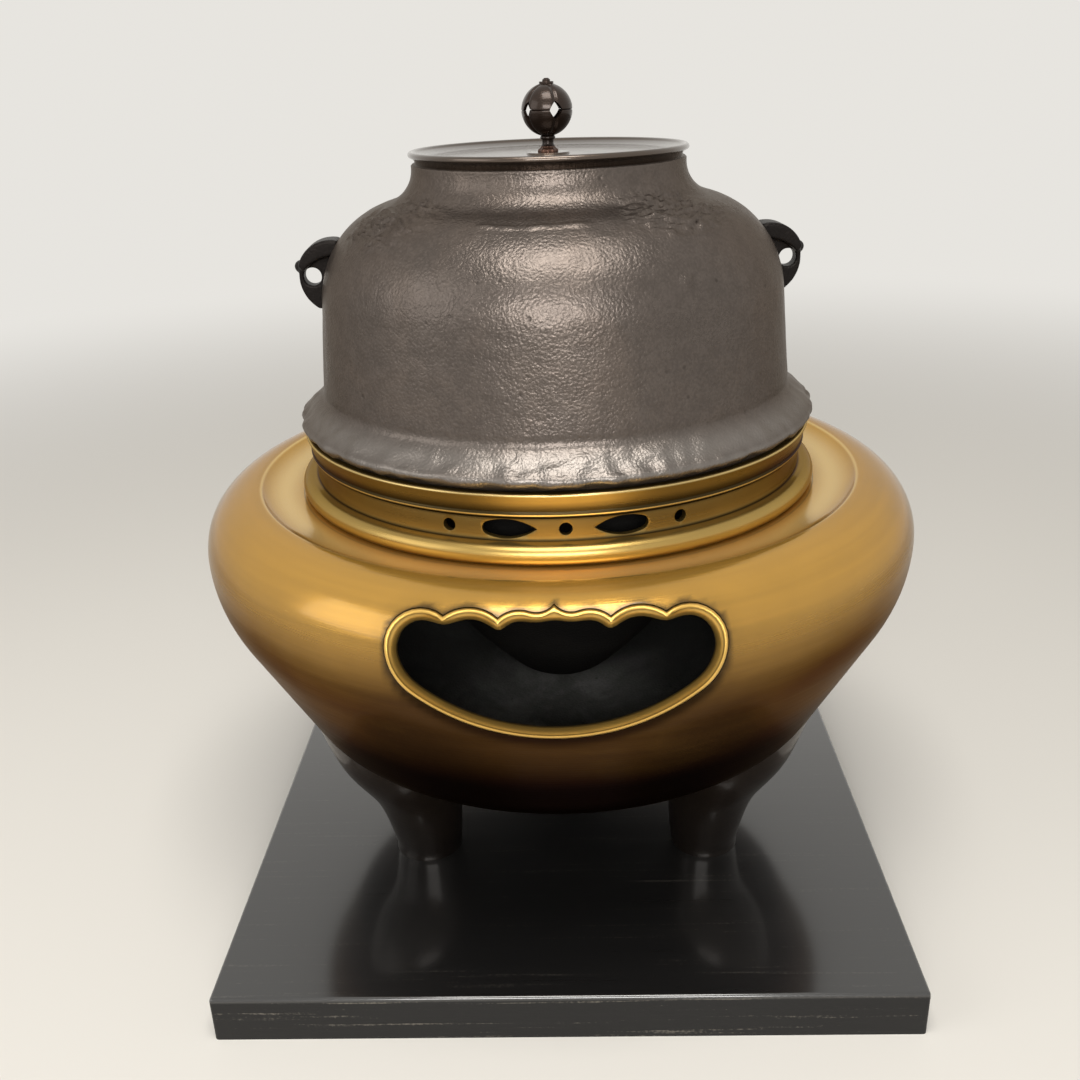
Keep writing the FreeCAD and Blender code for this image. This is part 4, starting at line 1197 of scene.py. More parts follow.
    def shade_at(self, point: Vector, facing: float, back: Matrix, edge: Sequence[Vector]) -> float:
        """Painted shade on the bowl: a dark line round the window outside, and inside a painted pool of light
        from the window on the floor, darker towards the wall.

        Args:
            point: point above the board.
            facing: how far the surface faces upwards.
            back: matrix that brings a point to the window's plane.
            edge: corners of the window in that plane.

        Returns:
            The darkness, from 0 to 1.
        """
        # Painted shade: a dark line in the crease round the frame, wider towards the bottom, with a soft
        # halo.
        if point.y < -self.shade_field and abs(point.x) < self.shade_field:
            flat = back @ point
            near = min(math.hypot(flat.x - place.x, flat.z - place.z) for place in edge)
            reach = self.shade_reach[0] + self.shade_reach[1] * smooth_step(*self.shade_heights, flat.z)
            line = smooth_step(reach, self.shade_core * reach, near)
            halo = smooth_step(self.shade_halo, 0.0, near)
            return self.shade_shares[0] * line + self.shade_shares[1] * halo
        # Painted pool of light on the inner floor, darker away from where light falls in through the window.
        if facing > self.light_pool_facing and point.z < self.light_pool_top:
            return smooth_step(*self.light_pool_fade, math.hypot(point.x, point.y + self.light_pool_middle))
        return 0.0

    def is_inside(self, face: MeshPolygon) -> bool:
        """Whether a face lies in the hollow of the bowl.

        Args:
            face: face of the bowl.

        Returns:
            True where soot covers it.
        """
        centre = face.center / MM
        height = centre.z - self.floor
        skin = self.wall_radius(height, 0.0) - self.wall * self.skin_share
        low = height < self.dish_height - self.wall * self.roof_share
        under = face.normal.z < self.under_facing and height < self.knuckle_height
        return math.hypot(centre.x, centre.y) < skin and low and not under

    def build_bowl(self) -> None:
        """Build the bowl with its shoulder, dish and window hole."""
        item = raw_object("bronze_bowl", lift(self.bowl_outline(False).turn(self.turns), self.floor))
        carve(item, [lift(self.window.cutter(), self.floor)])
        shade = item.data.attributes.new(SHADE_NAME, "FLOAT", "POINT")
        back = self.window.to_place().inverted()
        edge = self.window.corners()
        board_top = Vector((0.0, 0.0, self.floor))
        for vertex, slot in zip(item.data.vertices, shade.data):
            slot.value = self.shade_at(vertex.co / MM - board_top, vertex.normal.z, back, edge)
        for face in item.data.polygons:
            face.material_index = int(self.is_inside(face))
        seat_piece(item, Body.BRAZIER, ["brazier_bowl", "brazier_shoulder"],
                   [self.finishes.bowl, self.finishes.soot], sharp=40.0)

    def build_window(self) -> None:
        """Build the raised frame of the window by bridging outlines that lie on the wall."""
        mesh = bmesh.new()
        shading = mesh.verts.layers.float.new(SHADE_NAME)
        loops = []
        for inset, stand, shade in self.window.section:
            loop = self.window.outline(inset, mesh).close()
            self.window.blunt(loop, inset)
            for vertex in loop:
                vertex.co = self.on_wall(vertex.co.x, vertex.co.z, stand)
                vertex[shading] = shade
            loops.append(loop)
        for loop, following in zip(loops, loops[1:] + loops[:1]):
            open_edges = [edge for edge in mesh.edges if len(edge.link_faces) < 2]
            edges = [edge for edge in open_edges if self.in_loop(edge, loop) or self.in_loop(edge, following)]
            bmesh.ops.bridge_loops(mesh, edges=edges)
        bmesh.ops.recalc_face_normals(mesh, faces=mesh.faces[:])
        item = raw_object("window_frame", lift(mesh, self.floor))
        seat_piece(item, Body.BRAZIER, ["fire_window_rim"], [self.finishes.window],
                   sharp=40.0)

    @staticmethod
    def in_loop(edge: BMEdge, loop: Sequence[BMVert]) -> bool:
        """Whether both ends of an edge lie in a loop."""
        return edge.verts[0] in loop and edge.verts[1] in loop

    def leaf_cutter(self, bearing: float, mirror: bool) -> BMesh:
        """Block that cuts one leaf-shaped vent.

        Args:
            bearing: turn of the vent about the axis in degrees.
            mirror: whether its tip points the other way.

        Returns:
            The block.
        """
        side = -1.0 if mirror else 1.0
        end, up = self.leaf_side_end
        wire = Outline(self.leaf_tip * side, 0.0)
        wire.bend(end * side, -up, self.leaf_side_round, mirror, self.leaf_steps)
        wire.bend(self.leaf_nose * side, 0.0, self.leaf_nose_round, mirror)
        wire.bend(end * side, up, self.leaf_nose_round, mirror)
        wire.bend(self.leaf_tip * side, 0.0, self.leaf_side_round, mirror, self.leaf_steps)
        wire.close()
        block = prism(wire, -self.mouth - self.vent_depth, -self.mouth + self.vent_depth)
        return self.placed_vent(block, bearing)

    def round_cutter(self, bearing: float) -> BMesh:
        """Block that cuts one round vent.

        Args:
            bearing: turn of the vent about the axis in degrees.

        Returns:
            The block.
        """
        mesh = bmesh.new()
        lay = Matrix.Translation((0.0, -self.mouth, 0.0)) @ Matrix.Rotation(math.pi / 2.0, 4, "X")
        bmesh.ops.create_cone(mesh, cap_ends=True, segments=32, radius1=self.vent_radius,
                              radius2=self.vent_radius, depth=2.0 * self.vent_depth, matrix=lay)
        return self.placed_vent(mesh, bearing)

    def placed_vent(self, mesh: BMesh, bearing: float) -> BMesh:
        """Turn a vent's block to its bearing and lift it to the vents' height."""
        turn = Matrix.Rotation(math.radians(bearing), 4, "Z")
        return move(mesh, Matrix.Translation((0.0, 0.0, self.vent_height + self.floor)) @ turn)

    def build_collar(self) -> None:
        """Build the collar with its bead, vented band and flared rim."""
        spigot, low = self.collar_spigot
        wire = Outline(self.collar_bore, low).line(spigot, low).line(spigot, self.dish_height)
        wire.line(self.bead_foot, self.dish_height)
        for arc in self.bead:
            wire.bend(*arc, steps=8)
        wire.line(self.band[0], self.bead[1][1]).line(*self.band, cuts=3)
        for corner in self.groove:
            wire.line(*corner)
        wire.bend(*self.roll[0], steps=4).bend(*self.roll[1], steps=3)
        wire.bend(*self.flare, left=True, steps=6).bend(*self.rim, steps=4)
        wire.line(self.collar_bore, self.rim[1], cuts=2)
        flare_foot, band_top, band_foot, bead_top = self.bore_heights
        wire.line(self.collar_bore, flare_foot).line(self.band_bore, band_top)
        wire.line(self.band_bore, band_foot, cuts=2).line(self.collar_bore, bead_top).close()
        item = raw_object("collar_ring", lift(wire.turn(self.turns), self.floor))
        spreads = (0.0, -self.vent_spread, self.vent_spread)
        cutters = [self.round_cutter(self.vent_turn + spread) for spread in spreads]
        cutters.append(self.leaf_cutter(self.vent_turn - self.leaf_spread, True))
        cutters.append(self.leaf_cutter(self.vent_turn + self.leaf_spread, False))
        carve(item, cutters)
        ease = item.modifiers.new("ease", "BEVEL")
        ease.limit_method = "ANGLE"
        ease.angle_limit = math.radians(self.ease_angle)
        ease.width = self.collar_ease * MM
        ease.segments = 2
        apply_modifiers(item)
        seat_piece(item, Body.BRAZIER, ["brazier_collar"], [self.finishes.collar],
                   sharp=30.0)

    def foot_section(self, share: float) -> Triple:
        """Find a section of a foot on a smooth curve.

        Args:
            share: place along the sections, from 0 to 1.

        Returns:
            Height, distance of the middle from the axis and radius.
        """
        last = len(self.foot_sections) - 1
        place = share * last
        index = min(int(place), last - 1)
        step = place - index
        picks = [self.foot_sections[min(max(index + offset, 0), last)] for offset in (-1, 0, 1, 2)]
        values = []
        for before, start, end, after in zip(*picks):
            slope_in, slope_out = (end - before) / 2.0, (after - start) / 2.0
            curve = (2.0 * start - 2.0 * end + slope_in + slope_out) * step**3
            curve += (3.0 * end - 3.0 * start - 2.0 * slope_in - slope_out) * step**2
            values.append(curve + slope_in * step + start)
        return values[0], values[1], values[2]

    def build_feet(self) -> None:
        """Build the three horn-shaped feet, each cut to the bowl's outer form."""
        block = self.bowl_outline(True).turn(self.turns)
        for name, bearing in self.feet:
            mesh = bmesh.new()
            bmesh.ops.create_circle(mesh, cap_ends=True, segments=self.foot_sides, radius=1.0)
            face = mesh.faces[:][0]
            for step in range(self.foot_rings + 1):
                if step:
                    face = bmesh.ops.extrude_discrete_faces(mesh, faces=[face])["faces"][0]
                self.set_ring(face, *self.foot_section(step / self.foot_rings))
            bmesh.ops.remove_doubles(mesh, verts=mesh.verts[:], dist=MERGE_DISTANCE)
            bmesh.ops.recalc_face_normals(mesh, faces=mesh.faces[:])
            move(mesh, Matrix.Rotation(math.radians(bearing), 4, "Z"))
            item = raw_object(name.replace("foot", "horn_foot"), lift(mesh, self.floor))
            carve(item, [lift(block.copy(), self.floor)])
            seat_piece(item, Body.BRAZIER, [name], [self.finishes.foot], sharp=50.0)
        block.free()

    @staticmethod
    def set_ring(face: BMFace, height: float, out: float, size: float) -> None:
        """Set the corners of a round face to a height, a middle and a radius.

        Args:
            face: the face.
            height: its height.
            out: distance of its middle from the axis.
            size: its radius.
        """
        count = len(face.verts)
        for index, vertex in enumerate(face.verts):
            angle = FULL_TURN * index / count
            vertex.co = (out + size * math.cos(angle), size * math.sin(angle), height)

    def build(self) -> None:
        """Build every piece of the brazier."""
        self.build_bowl()
        self.build_window()
        self.build_collar()
        self.build_feet()


@dataclass
class Kettle:
    """Iron kettle with its lugs, in millimetres above the collar's rim.

    A swell of the casting is given as its height, its length and a shift of its pattern, a rough patch as its
    bearing, spread, height and half height, and a fold in it as its length, width, shift and height.
    """

    finishes: Finishes
    floor: float = 221.2
    turns: int = 480
    bore: float = 95.0
    seat: float = 106.5
    skirt: float = 111.0
    skirt_low: Pair = (1.0, 2.9)
    skirt_middle: float = 4.8
    skirt_high: Pair = (1.4, 6.7)
    skirt_round: float = 2.2
    crease: Pair = (100.7, 15.8)
    crease_foot: Pair = (1.9, -2.8)
    crease_head: Pair = (-0.25, 2.6)
    crease_round: float = 5.0
    wall_top: float = 56.0
    taper: float = 5.15
    shoulder_round: float = 40.2
    sweep: float = 72.2
    neck: float = 56.3
    neck_round: float = 13.6
    neck_straight: float = 1.5
    mouth_ease: float = 0.5
    wall: float = 4.0
    socket: float = 9.5
    wall_margin: float = 2.0
    shoulder_margin: float = 1.5
    neck_margin: float = 1.0
    end_margins: Pair = (1.0, 2.0)
    swells: tuple[tuple[float, float, Triple], ...] = (
        (0.36, 34.0, ORIGIN), (0.1, 11.0, (3.0, 9.0, 1.0)), (0.07, 4.5, ORIGIN))
    skirt_fade: Pair = (16.0, 9.0)
    skirt_swells: tuple[Pair, Pair] = ((0.9, 12.0), (0.65, 6.0))
    ragged_fade: Pair = (8.0, 3.0)
    ragged_swell: Pair = (0.7, 9.0)
    patches: tuple[tuple[float, float, float, float], ...] = (
        (-56.0, 27.0, 88.0, 13.0), (43.0, 27.0, 90.0, 11.0))
    patch_fade: Pair = (1.0, 0.3)
    patch_drift: Pair = (5.0, 13.0)
    folds: tuple[tuple[float, float, float, float], ...] = ((16.0, 4.2, 1.0, 1.3), (8.0, 2.6, 7.0, 0.7))
    fold_gain: float = 2.4
    fold_sink: float = 0.6
    boss: Triple = (32.0, 69.0, 3.6)
    boss_rise: float = 0.8
    boss_fade: Pair = (1.0, 0.1)
    flash_height: float = 88.7
    flash_drift: Pair = (0.7, 16.0)
    flash_fade: Pair = (0.9, 0.15)
    flash_inner: float = 60.0
    flash_rise: float = 0.6
    flash_bearing: float = -4.0
    flash_spread: Pair = (18.0, 13.0)
    flash_breaks: Triple = (5.0, 4.0, 2.0)
    break_fade: Pair = (-0.2, 0.2)
    break_left: float = 0.45
    lug_turn: float = 4.0
    eye: Pair = (3.4, 7.1)
    eye_radius: float = 3.5
    eye_ease: float = 0.25
    eye_depth: float = 40.0
    ear_start: Pair = (-10.5, 12.5)
    ear_nose: Triple = (4.6, 5.4, 24.0)
    ear_tail: Triple = (-1.6, -13.6, 15.6)
    ear_heel: Pair = (-7.5, -12.8)
    ear_half: float = 3.8
    hood_start: Pair = (-12.0, 14.6)
    hood_tip: Triple = (5.4, 4.8, 14.5)
    hood_lip: Pair = (3.4, 2.4)
    hood_back: Triple = (-12.0, 8.6, 19.0)
    hood_half: float = 6.6
    nub_place: Triple = (4.9, 0.0, 3.9)
    nub_radius: float = 2.8
    melt_grain: float = 0.42
    melt_rounds: int = 26

    def shoulder(self, offset: float, sweep: float) -> Pair:
        """Find a point of the shoulder's arc.

        Args:
            offset: distance outwards.
            sweep: place on the arc in degrees.

        Returns:
            Radius and height of the point.
        """
        lean = math.radians(self.taper)
        start = self.crease[0] - (self.wall_top - self.crease[1]) * math.tan(lean)
        out = start - self.shoulder_round * math.cos(lean)
        up = self.wall_top - self.shoulder_round * math.sin(lean)
        size = self.shoulder_round + offset
        return out + size * math.cos(math.radians(sweep)), up + size * math.sin(math.radians(sweep))

    def neck_points(self) -> tuple[Pair, Pair]:
        """Find the ends of the hollow arc below the neck.

        Returns:
            Radius and height of the foot, and of the head.
        """
        turn = math.radians(self.sweep)
        out, up = self.shoulder(0.0, self.sweep)
        run = (out - self.neck - self.neck_round + self.neck_round * math.cos(turn)) / math.sin(turn)
        foot = (out - run * math.sin(turn), up + run * math.cos(turn))
        return foot, (self.neck, foot[1] + self.neck_round * math.sin(turn))

    def mouth_height(self) -> float:
        """Height of the mouth above the collar's rim."""
        return self.neck_points()[1][1] + self.neck_straight

    def body_outline(self) -> Outline:
        """Draw half the section of the kettle's body.

        Returns:
            The outline.
        """
        foot, head = self.neck_points()
        mouth, top = self.neck - self.wall, self.mouth_height()
        centre = self.shoulder(-self.shoulder_round, self.taper)
        inner = self.shoulder_round - self.wall
        inner_neck = centre[1] + math.sqrt(inner**2 - (mouth - centre[0]) ** 2)
        inner_wall = self.shoulder(-self.wall, self.taper)
        base = self.socket + self.wall
        inner_foot = inner_wall[0] + (inner_wall[1] - base) * math.tan(math.radians(self.taper))
        crease, crease_height = self.crease
        wire = Outline(self.bore, 0.0).line(self.seat, 0.0, cuts=3)
        wire.line(self.skirt - self.skirt_low[0], self.skirt_low[1], cuts=2)
        wire.bend(self.skirt, self.skirt_middle, self.skirt_round, steps=3)
        wire.bend(self.skirt - self.skirt_high[0], self.skirt_high[1], self.skirt_round, steps=3)
        wire.line(crease + self.crease_foot[0], crease_height + self.crease_foot[1], cuts=12)
        wire.bend(crease + self.crease_head[0], crease_height + self.crease_head[1], self.crease_round,
                  left=True, steps=5)
        wire.line(*self.shoulder(0.0, self.taper), cuts=36)
        wire.bend(*self.shoulder(0.0, self.sweep), self.shoulder_round, steps=56)
        wire.line(*foot, cuts=3).bend(*head, self.neck_round, left=True, steps=14)
        wire.line(self.neck, top - self.mouth_ease, cuts=1)
        wire.line(self.neck - self.mouth_ease, top).line(mouth, top)
        wire.line(mouth, inner_neck, cuts=3).bend(*inner_wall, inner, left=True, steps=14)
        return wire.line(inner_foot, base, cuts=6).line(self.bore, self.socket).line(self.bore, 0.0, cuts=1)

    def is_rough(self, place: Vector, radius: float) -> bool:
        """Whether a point lies on the outside, away from the seat and the mouth.

        Args:
            place: point on the smooth surface.
            radius: its distance from the axis.

        Returns:
            True where the casting is rough.
        """
        if place.z < self.end_margins[0] or place.z > self.mouth_height() - self.end_margins[1]:
            return False
        if place.z < self.wall_top:
            return radius > self.shoulder(0.0, self.taper)[0] - self.wall_margin
        centre = self.shoulder(-self.shoulder_round, self.taper)
        reach = math.hypot(radius - centre[0], place.z - centre[1])
        return reach > self.shoulder_round - self.shoulder_margin and radius > self.neck - self.neck_margin

    def roughen(self, mesh: BMesh) -> None:
        """Give the turned body the lumps, flash lines and ragged skirt of an old casting.

        Args:
            mesh: the turned body.
        """
        mesh.normal_update()
        moves = []
        for vertex in mesh.verts:
            radius = math.hypot(vertex.co.x, vertex.co.y)
            if self.is_rough(vertex.co, radius):
                moves.append((vertex, self.relief(vertex.co, radius)))
        for vertex, amount in moves:
            vertex.co += vertex.normal * amount

    def relief(self, place: Vector, radius: float) -> float:
        """Height of the casting's relief at a place on the outside.

        Args:
            place: point on the smooth surface.
            radius: its distance from the axis.

        Returns:
            How far the real surface stands off the smooth one.
        """
        bearing = math.degrees(math.atan2(place.x, -place.y))
        amount = 0.0
        for size, length, shift in self.swells:
            amount += size * noise.noise(place / length + Vector(shift))
        skirt = sum(size * noise.noise(place / length) for size, length in self.skirt_swells)
        amount += smooth_step(*self.skirt_fade, place.z) * skirt
        size, length = self.ragged_swell
        ragged = size * noise.noise(Vector((place.x, place.y, 0.0)) / length)
        amount += smooth_step(*self.ragged_fade, place.z) * ragged
        amount += self.patch_relief(place, radius, bearing)
        middle, height, size = self.boss
        away = math.hypot(math.radians(bearing - middle) * radius, place.z - height)
        amount += self.boss_rise * smooth_step(*self.boss_fade, away / size)
        return amount + self.flash_relief(place, radius, bearing)

    def patch_relief(self, place: Vector, radius: float, bearing: float) -> float:
        """Height of the folds in the rough patches of the shoulder.

        Args:
            place: point on the smooth surface.
            radius: its distance from the axis.
            bearing: its bearing from the front in degrees.

        Returns:
            The height.
        """
        amount = 0.0
        for middle, spread, height, tall in self.patches:
            away = math.hypot((bearing - middle) / spread, (place.z - height) / tall)
            near = smooth_step(*self.patch_fade, away)
            if near > 0.0:
                along = math.radians(bearing) * radius
                drift, drift_length = self.patch_drift
                down = place.z - radius + drift * noise.noise(place / drift_length)
                rise = -self.fold_sink
                for length, width, shift, size in self.folds:
                    wave = noise.noise(Vector((along / length, down / width, shift)))
                    rise += size * max(1.0 - self.fold_gain * abs(wave), 0.0) ** 2
                amount += near * rise
        return amount

    def flash_relief(self, place: Vector, radius: float, bearing: float) -> float:
        """Height of the broken flash line below the neck.

        Args:
            place: point on the smooth surface.
            radius: its distance from the axis.
            bearing: its bearing from the front in degrees.

        Returns:
            The height.
        """
        if radius <= self.flash_inner:
            return 0.0
        drift, length = self.flash_drift
        line = self.flash_height + drift * noise.noise(place / length)
        flash = smooth_step(*self.flash_fade, abs(place.z - line))
        step, *shift = self.flash_breaks
        gaps = smooth_step(*self.break_fade, noise.noise(Vector((bearing / step, *shift))))
        broken = self.break_left + (1.0 - self.break_left) * gaps
        ends = smooth_step(*self.flash_spread, abs(bearing - self.flash_bearing))
        return self.flash_rise * flash * broken * ends

    def build_body(self) -> None:
        """Build the kettle's body."""
        mesh = self.body_outline().turn(self.turns)
        self.roughen(mesh)
        item = raw_object("kettle_shell", lift(mesh, self.floor))
        seat_piece(item, Body.KETTLE, ["kettle_body"], [self.finishes.kettle], sharp=50.0)

    def lug_blocks(self) -> tuple[BMesh, BMesh, BMesh, BMesh]:
        """Draw the blocks of a lug about its eye.

        Returns:
            The ear, the hood, the nub and the bore.
        """
        wire = Outline(*self.ear_start).bend(*self.ear_nose, left=True, steps=10)
        wire.bend(*self.ear_tail, left=True, steps=14).line(*self.ear_heel).close()
        hood_wire = Outline(*self.hood_start).bend(*self.hood_tip, left=True, steps=12)
        hood_wire.line(*self.hood_lip).bend(*self.hood_back, steps=12).close()
        nub = bmesh.new()
        bmesh.ops.create_icosphere(nub, subdivisions=3, radius=self.nub_radius,
                                   matrix=Matrix.Translation(self.nub_place))
        bore = bmesh.new()
        size = self.eye_radius + self.eye_ease
        bmesh.ops.create_cone(bore, cap_ends=True, segments=48, radius1=size, radius2=size,
                              depth=self.eye_depth, matrix=Matrix.Rotation(math.pi / 2.0, 4, "X"))
        ear = prism(wire, -self.ear_half, self.ear_half)
        return ear, prism(hood_wire, -self.hood_half, self.hood_half), nub, bore

    def build_lugs(self) -> None:
        """Build the two hooded ears from a ring, a hood and a nub, melted into one casting."""
        start = self.shoulder(0.0, self.taper)
        eye = Vector((start[0] + self.eye[0], 0.0, start[1] + self.eye[1]))
        for name, turn in (("lug_right", self.lug_turn), ("lug_left", self.lug_turn + 180.0)):
            ear, hood, nub, bore = self.lug_blocks()
            item = raw_object(name.replace("lug", "kettle_ear"), ear)
            combine(item, [raw_object("hood", hood), raw_object("nub", nub)], "UNION")
            carve(item, [bore])
            melt = item.modifiers.new("melt", "REMESH")
            melt.mode = "VOXEL"
            melt.voxel_size = self.melt_grain * MM
            soft = item.modifiers.new("soften", "SMOOTH")
            soft.factor = 0.5
            soft.iterations = self.melt_rounds
            apply_modifiers(item)
            rise = Matrix.Translation((0.0, 0.0, self.floor * MM))
            place = rise @ Matrix.Rotation(math.radians(turn), 4, "Z")
            item.data.transform(place @ Matrix.Translation(eye * MM))
            seat_piece(item, Body.KETTLE, [name], [self.finishes.lug], sharp=60.0)

    def build(self) -> None:
        """Build every piece of the kettle, and finish the solids that stay."""
        self.build_body()
        self.build_lugs()
        for name in ("kettle_bottom", "singing_irons"):
            dress_solid(name, self.finishes.bottom)


@dataclass
class Lid:
    """Bronze lid with its pierced ball knob, in millimetres above the kettle's mouth.

    An edge bend is given as its distance in from the edge, its height and its radius.
    """

    finishes: Finishes
    floor: float
    edge: float = 57.4
    spigot: float = 51.4
    spigot_wall: float = 2.4
    spigot_depth: float = 4.0
    spigot_ease: float = 0.4
    plate: float = 1.9
    flange: float = 3.0
    edge_hollow: Triple = (0.7, 2.7, 4.0)
    edge_bends: tuple[tuple[Triple, int], ...] = (
        ((0.0, 3.7, 0.9), 4), ((1.3, 5.0, 1.4), 6), ((3.0, 4.1, 2.2), 4))
    dish: Triple = (12.0, 0.45, 22.0)
    dish_flat: Pair = (20.0, 0.1)
    plate_turns: int = 300
    pin_bore: float = 1.3
    ball_middle: float = 18.8
    ball_radius: float = 10.4
    ball_half: float = 9.8
    ball_wall: float = 1.4
    ball_turn: float = 22.0
    ball_turns: int = 240
    seam: float = 0.06
    seam_ease: float = 0.25
    seam_bend: Triple = (0.02, 0.42, 0.5)
    ball_flat: float = 2.6
    inner_flat: float = 1.8
    inner_slack: float = 0.02
    lobes: int = 5
    groove: Triple = (0.55, 0.75, 3.2)
    hole: Pair = (2.7, 3.5)
    hole_bow: float = 9.0
    hole_cut: Pair = (4.0, 16.0)
    seat: tuple[Pair, Triple, Triple] = ((4.3, 2.7), (3.9, 3.9, 1.0), (2.8, 5.1, 2.6))
    seat_inner: float = 2.4
    seat_scallop: float = 0.07
    seat_waves: float = 10.0
    neck_foot: float = 2.9
    neck_waist: tuple[Triple, Triple] = ((2.35, 6.2, 2.0), (2.5, 7.4, 3.0))
    neck_collar: tuple[Triple, Triple] = ((3.1, 8.2, 0.9), (2.6, 9.0, 0.8))
    stem_turns: int = 96

    def build_plate(self) -> None:
        """Build the dished plate with its bead and locating ring."""
        inner, low, ease = self.spigot - self.spigot_wall, -self.spigot_depth, self.spigot_ease
        wire = Outline(self.pin_bore, 0.0).line(inner, 0.0, cuts=3)
        wire.line(inner, low + ease).bend(inner + ease, low, ease, steps=2)
        wire.line(self.spigot - ease, low).bend(self.spigot, low + ease, ease, steps=2).line(self.spigot, 0.0)
        wire.line(self.edge - self.flange, 0.0, cuts=1)
        across, height, size = self.edge_hollow
        wire.bend(self.edge - across, height, size, left=True, steps=6)
        for (across, height, size), steps in self.edge_bends:
            wire.bend(self.edge - across, height, size, steps=steps)
        across, height, size = self.dish
        wire.bend(self.edge - across, self.plate + height, size, left=True, steps=10)
        flat, height = self.dish_flat
        wire.line(flat, self.plate + height, cuts=6).line(self.pin_bore, self.plate, cuts=4)
        wire.line(self.pin_bore, 0.0)
        item = raw_object("lid_dish", lift(wire.turn(self.plate_turns), self.floor))
        seat_piece(item, Body.LID, ["lid_plate"], [self.finishes.lid], sharp=35.0)

    def cup_outline(self, upward: bool) -> Outline:
        """Draw half the section of one half of the ball, about the ball's middle.

        Args:
            upward: whether it is the upper half.

        Returns:
            The outline.
        """
        sign = 1.0 if upward else -1.0
        inner = self.ball_radius - self.ball_wall
        seam, top = self.seam * sign, self.ball_half * sign
        under = (self.ball_half - self.ball_wall) * sign
        across, height, size = self.seam_bend
        wire = Outline(inner, seam).line(self.ball_radius - self.seam_ease, seam)
        wire.bend(self.ball_radius - across, height * sign, size, left=not upward, steps=4)
        wire.bend(self.ball_flat, top, self.ball_radius, left=not upward, steps=26)
        wire.line(self.pin_bore, top).line(self.pin_bore, under).line(self.inner_flat, under)
        return wire.bend(inner, seam, inner + self.inner_slack, left=upward, steps=16)

    def build_cup(self, name: str, node: str, upward: bool) -> None:
        """Build one lobed half of the ball.

        Args:
            name: name of the piece.
            node: solid that it stands for.
            upward: whether it is the upper half.
        """
        mesh = self.cup_outline(upward).turn(self.ball_turns)
        step = FULL_TURN / self.lobes
        depth, width, inner = self.groove
        for vertex in mesh.verts:
            radius = math.hypot(vertex.co.x, vertex.co.y)
            angle = math.atan2(vertex.co.y, vertex.co.x)
            off = abs((angle + step / 2.0) % step - step / 2.0) * radius
            if radius > inner:
                vertex.co -= vertex.co.normalized() * (depth * math.exp(-((off / width) ** 2)))
        item = raw_object(name, mesh)
        carve(item, [self.hole_cutter(index * step) for index in range(self.lobes)])
        turn = Matrix.Rotation(math.radians(self.ball_turn - 90.0), 4, "Z")
        item.data.transform(Matrix.Translation((0.0, 0.0, (self.floor + self.ball_middle) * MM)) @ turn)
        seat_piece(item, Body.LID, [node], [self.finishes.knob], sharp=40.0)

    def hole_cutter(self, angle: float) -> BMesh:
        """Block that cuts one diamond hole with swelling sides between the lobes.

        Args:
            angle: turn of the hole about the axis.

        Returns:
            The block.
        """
        across, up = self.hole
        wire = Outline(-across, 0.0)
        for x, z in ((0.0, -up), (across, 0.0), (0.0, up), (-across, 0.0)):
            wire.bend(x, z, self.hole_bow, steps=6)
        wire.close()
        return move(prism(wire, *self.hole_cut), Matrix.Rotation(angle - math.pi / 2.0, 4, "Z"))

    def build_seat(self) -> None:
        """Build the scalloped copper seat under the knob."""
        foot, swell, hollow = self.seat
        wire = Outline(self.pin_bore, foot[1]).line(*foot)
        wire.bend(*swell, steps=5).bend(*hollow, left=True, steps=5)
        wire.line(self.pin_bore, hollow[1]).line(self.pin_bore, foot[1])
        mesh = wire.turn(self.stem_turns)
        for vertex in mesh.verts:
            if math.hypot(vertex.co.x, vertex.co.y) > self.seat_inner:
                wave = math.cos(self.seat_waves * math.atan2(vertex.co.y, vertex.co.x))
                share = 1.0 - self.seat_scallop * (1.0 + wave) / 2.0
                vertex.co.x *= share
                vertex.co.y *= share
        item = raw_object("copper_seat", lift(mesh, self.floor))
        seat_piece(item, Body.LID, ["knob_seat"], [self.finishes.copper], sharp=40.0)

    def build_neck(self) -> None:
        """Build the turned neck that carries the ball."""
        low, high = self.seat[-1][1], self.neck_collar[-1][1]
        wire = Outline(self.pin_bore, low).line(self.neck_foot, low)
        for arc in self.neck_waist:
            wire.bend(*arc, left=True, steps=4)
        for arc in self.neck_collar:
            wire.bend(*arc, steps=4)
        wire.line(self.pin_bore, high).line(self.pin_bore, low)
        item = raw_object("turned_neck", lift(wire.turn(self.stem_turns), self.floor))
        seat_piece(item, Body.LID, ["knob_neck"], [self.finishes.knob], sharp=40.0)

    def build(self) -> None:
        """Build every piece of the lid, and finish the small solids that stay."""
        self.build_plate()
        self.build_cup("ball_lower", "knob_lower_cup", False)
        self.build_cup("ball_upper", "knob_upper_cup", True)
        self.build_seat()
        self.build_neck()
        for name in ("knob_base_disc", "lid_clench_washer"):
            dress_solid(name, self.finishes.lid)
        for name in ("knob_washer", "knob_pin"):
            dress_solid(name, self.finishes.knob)


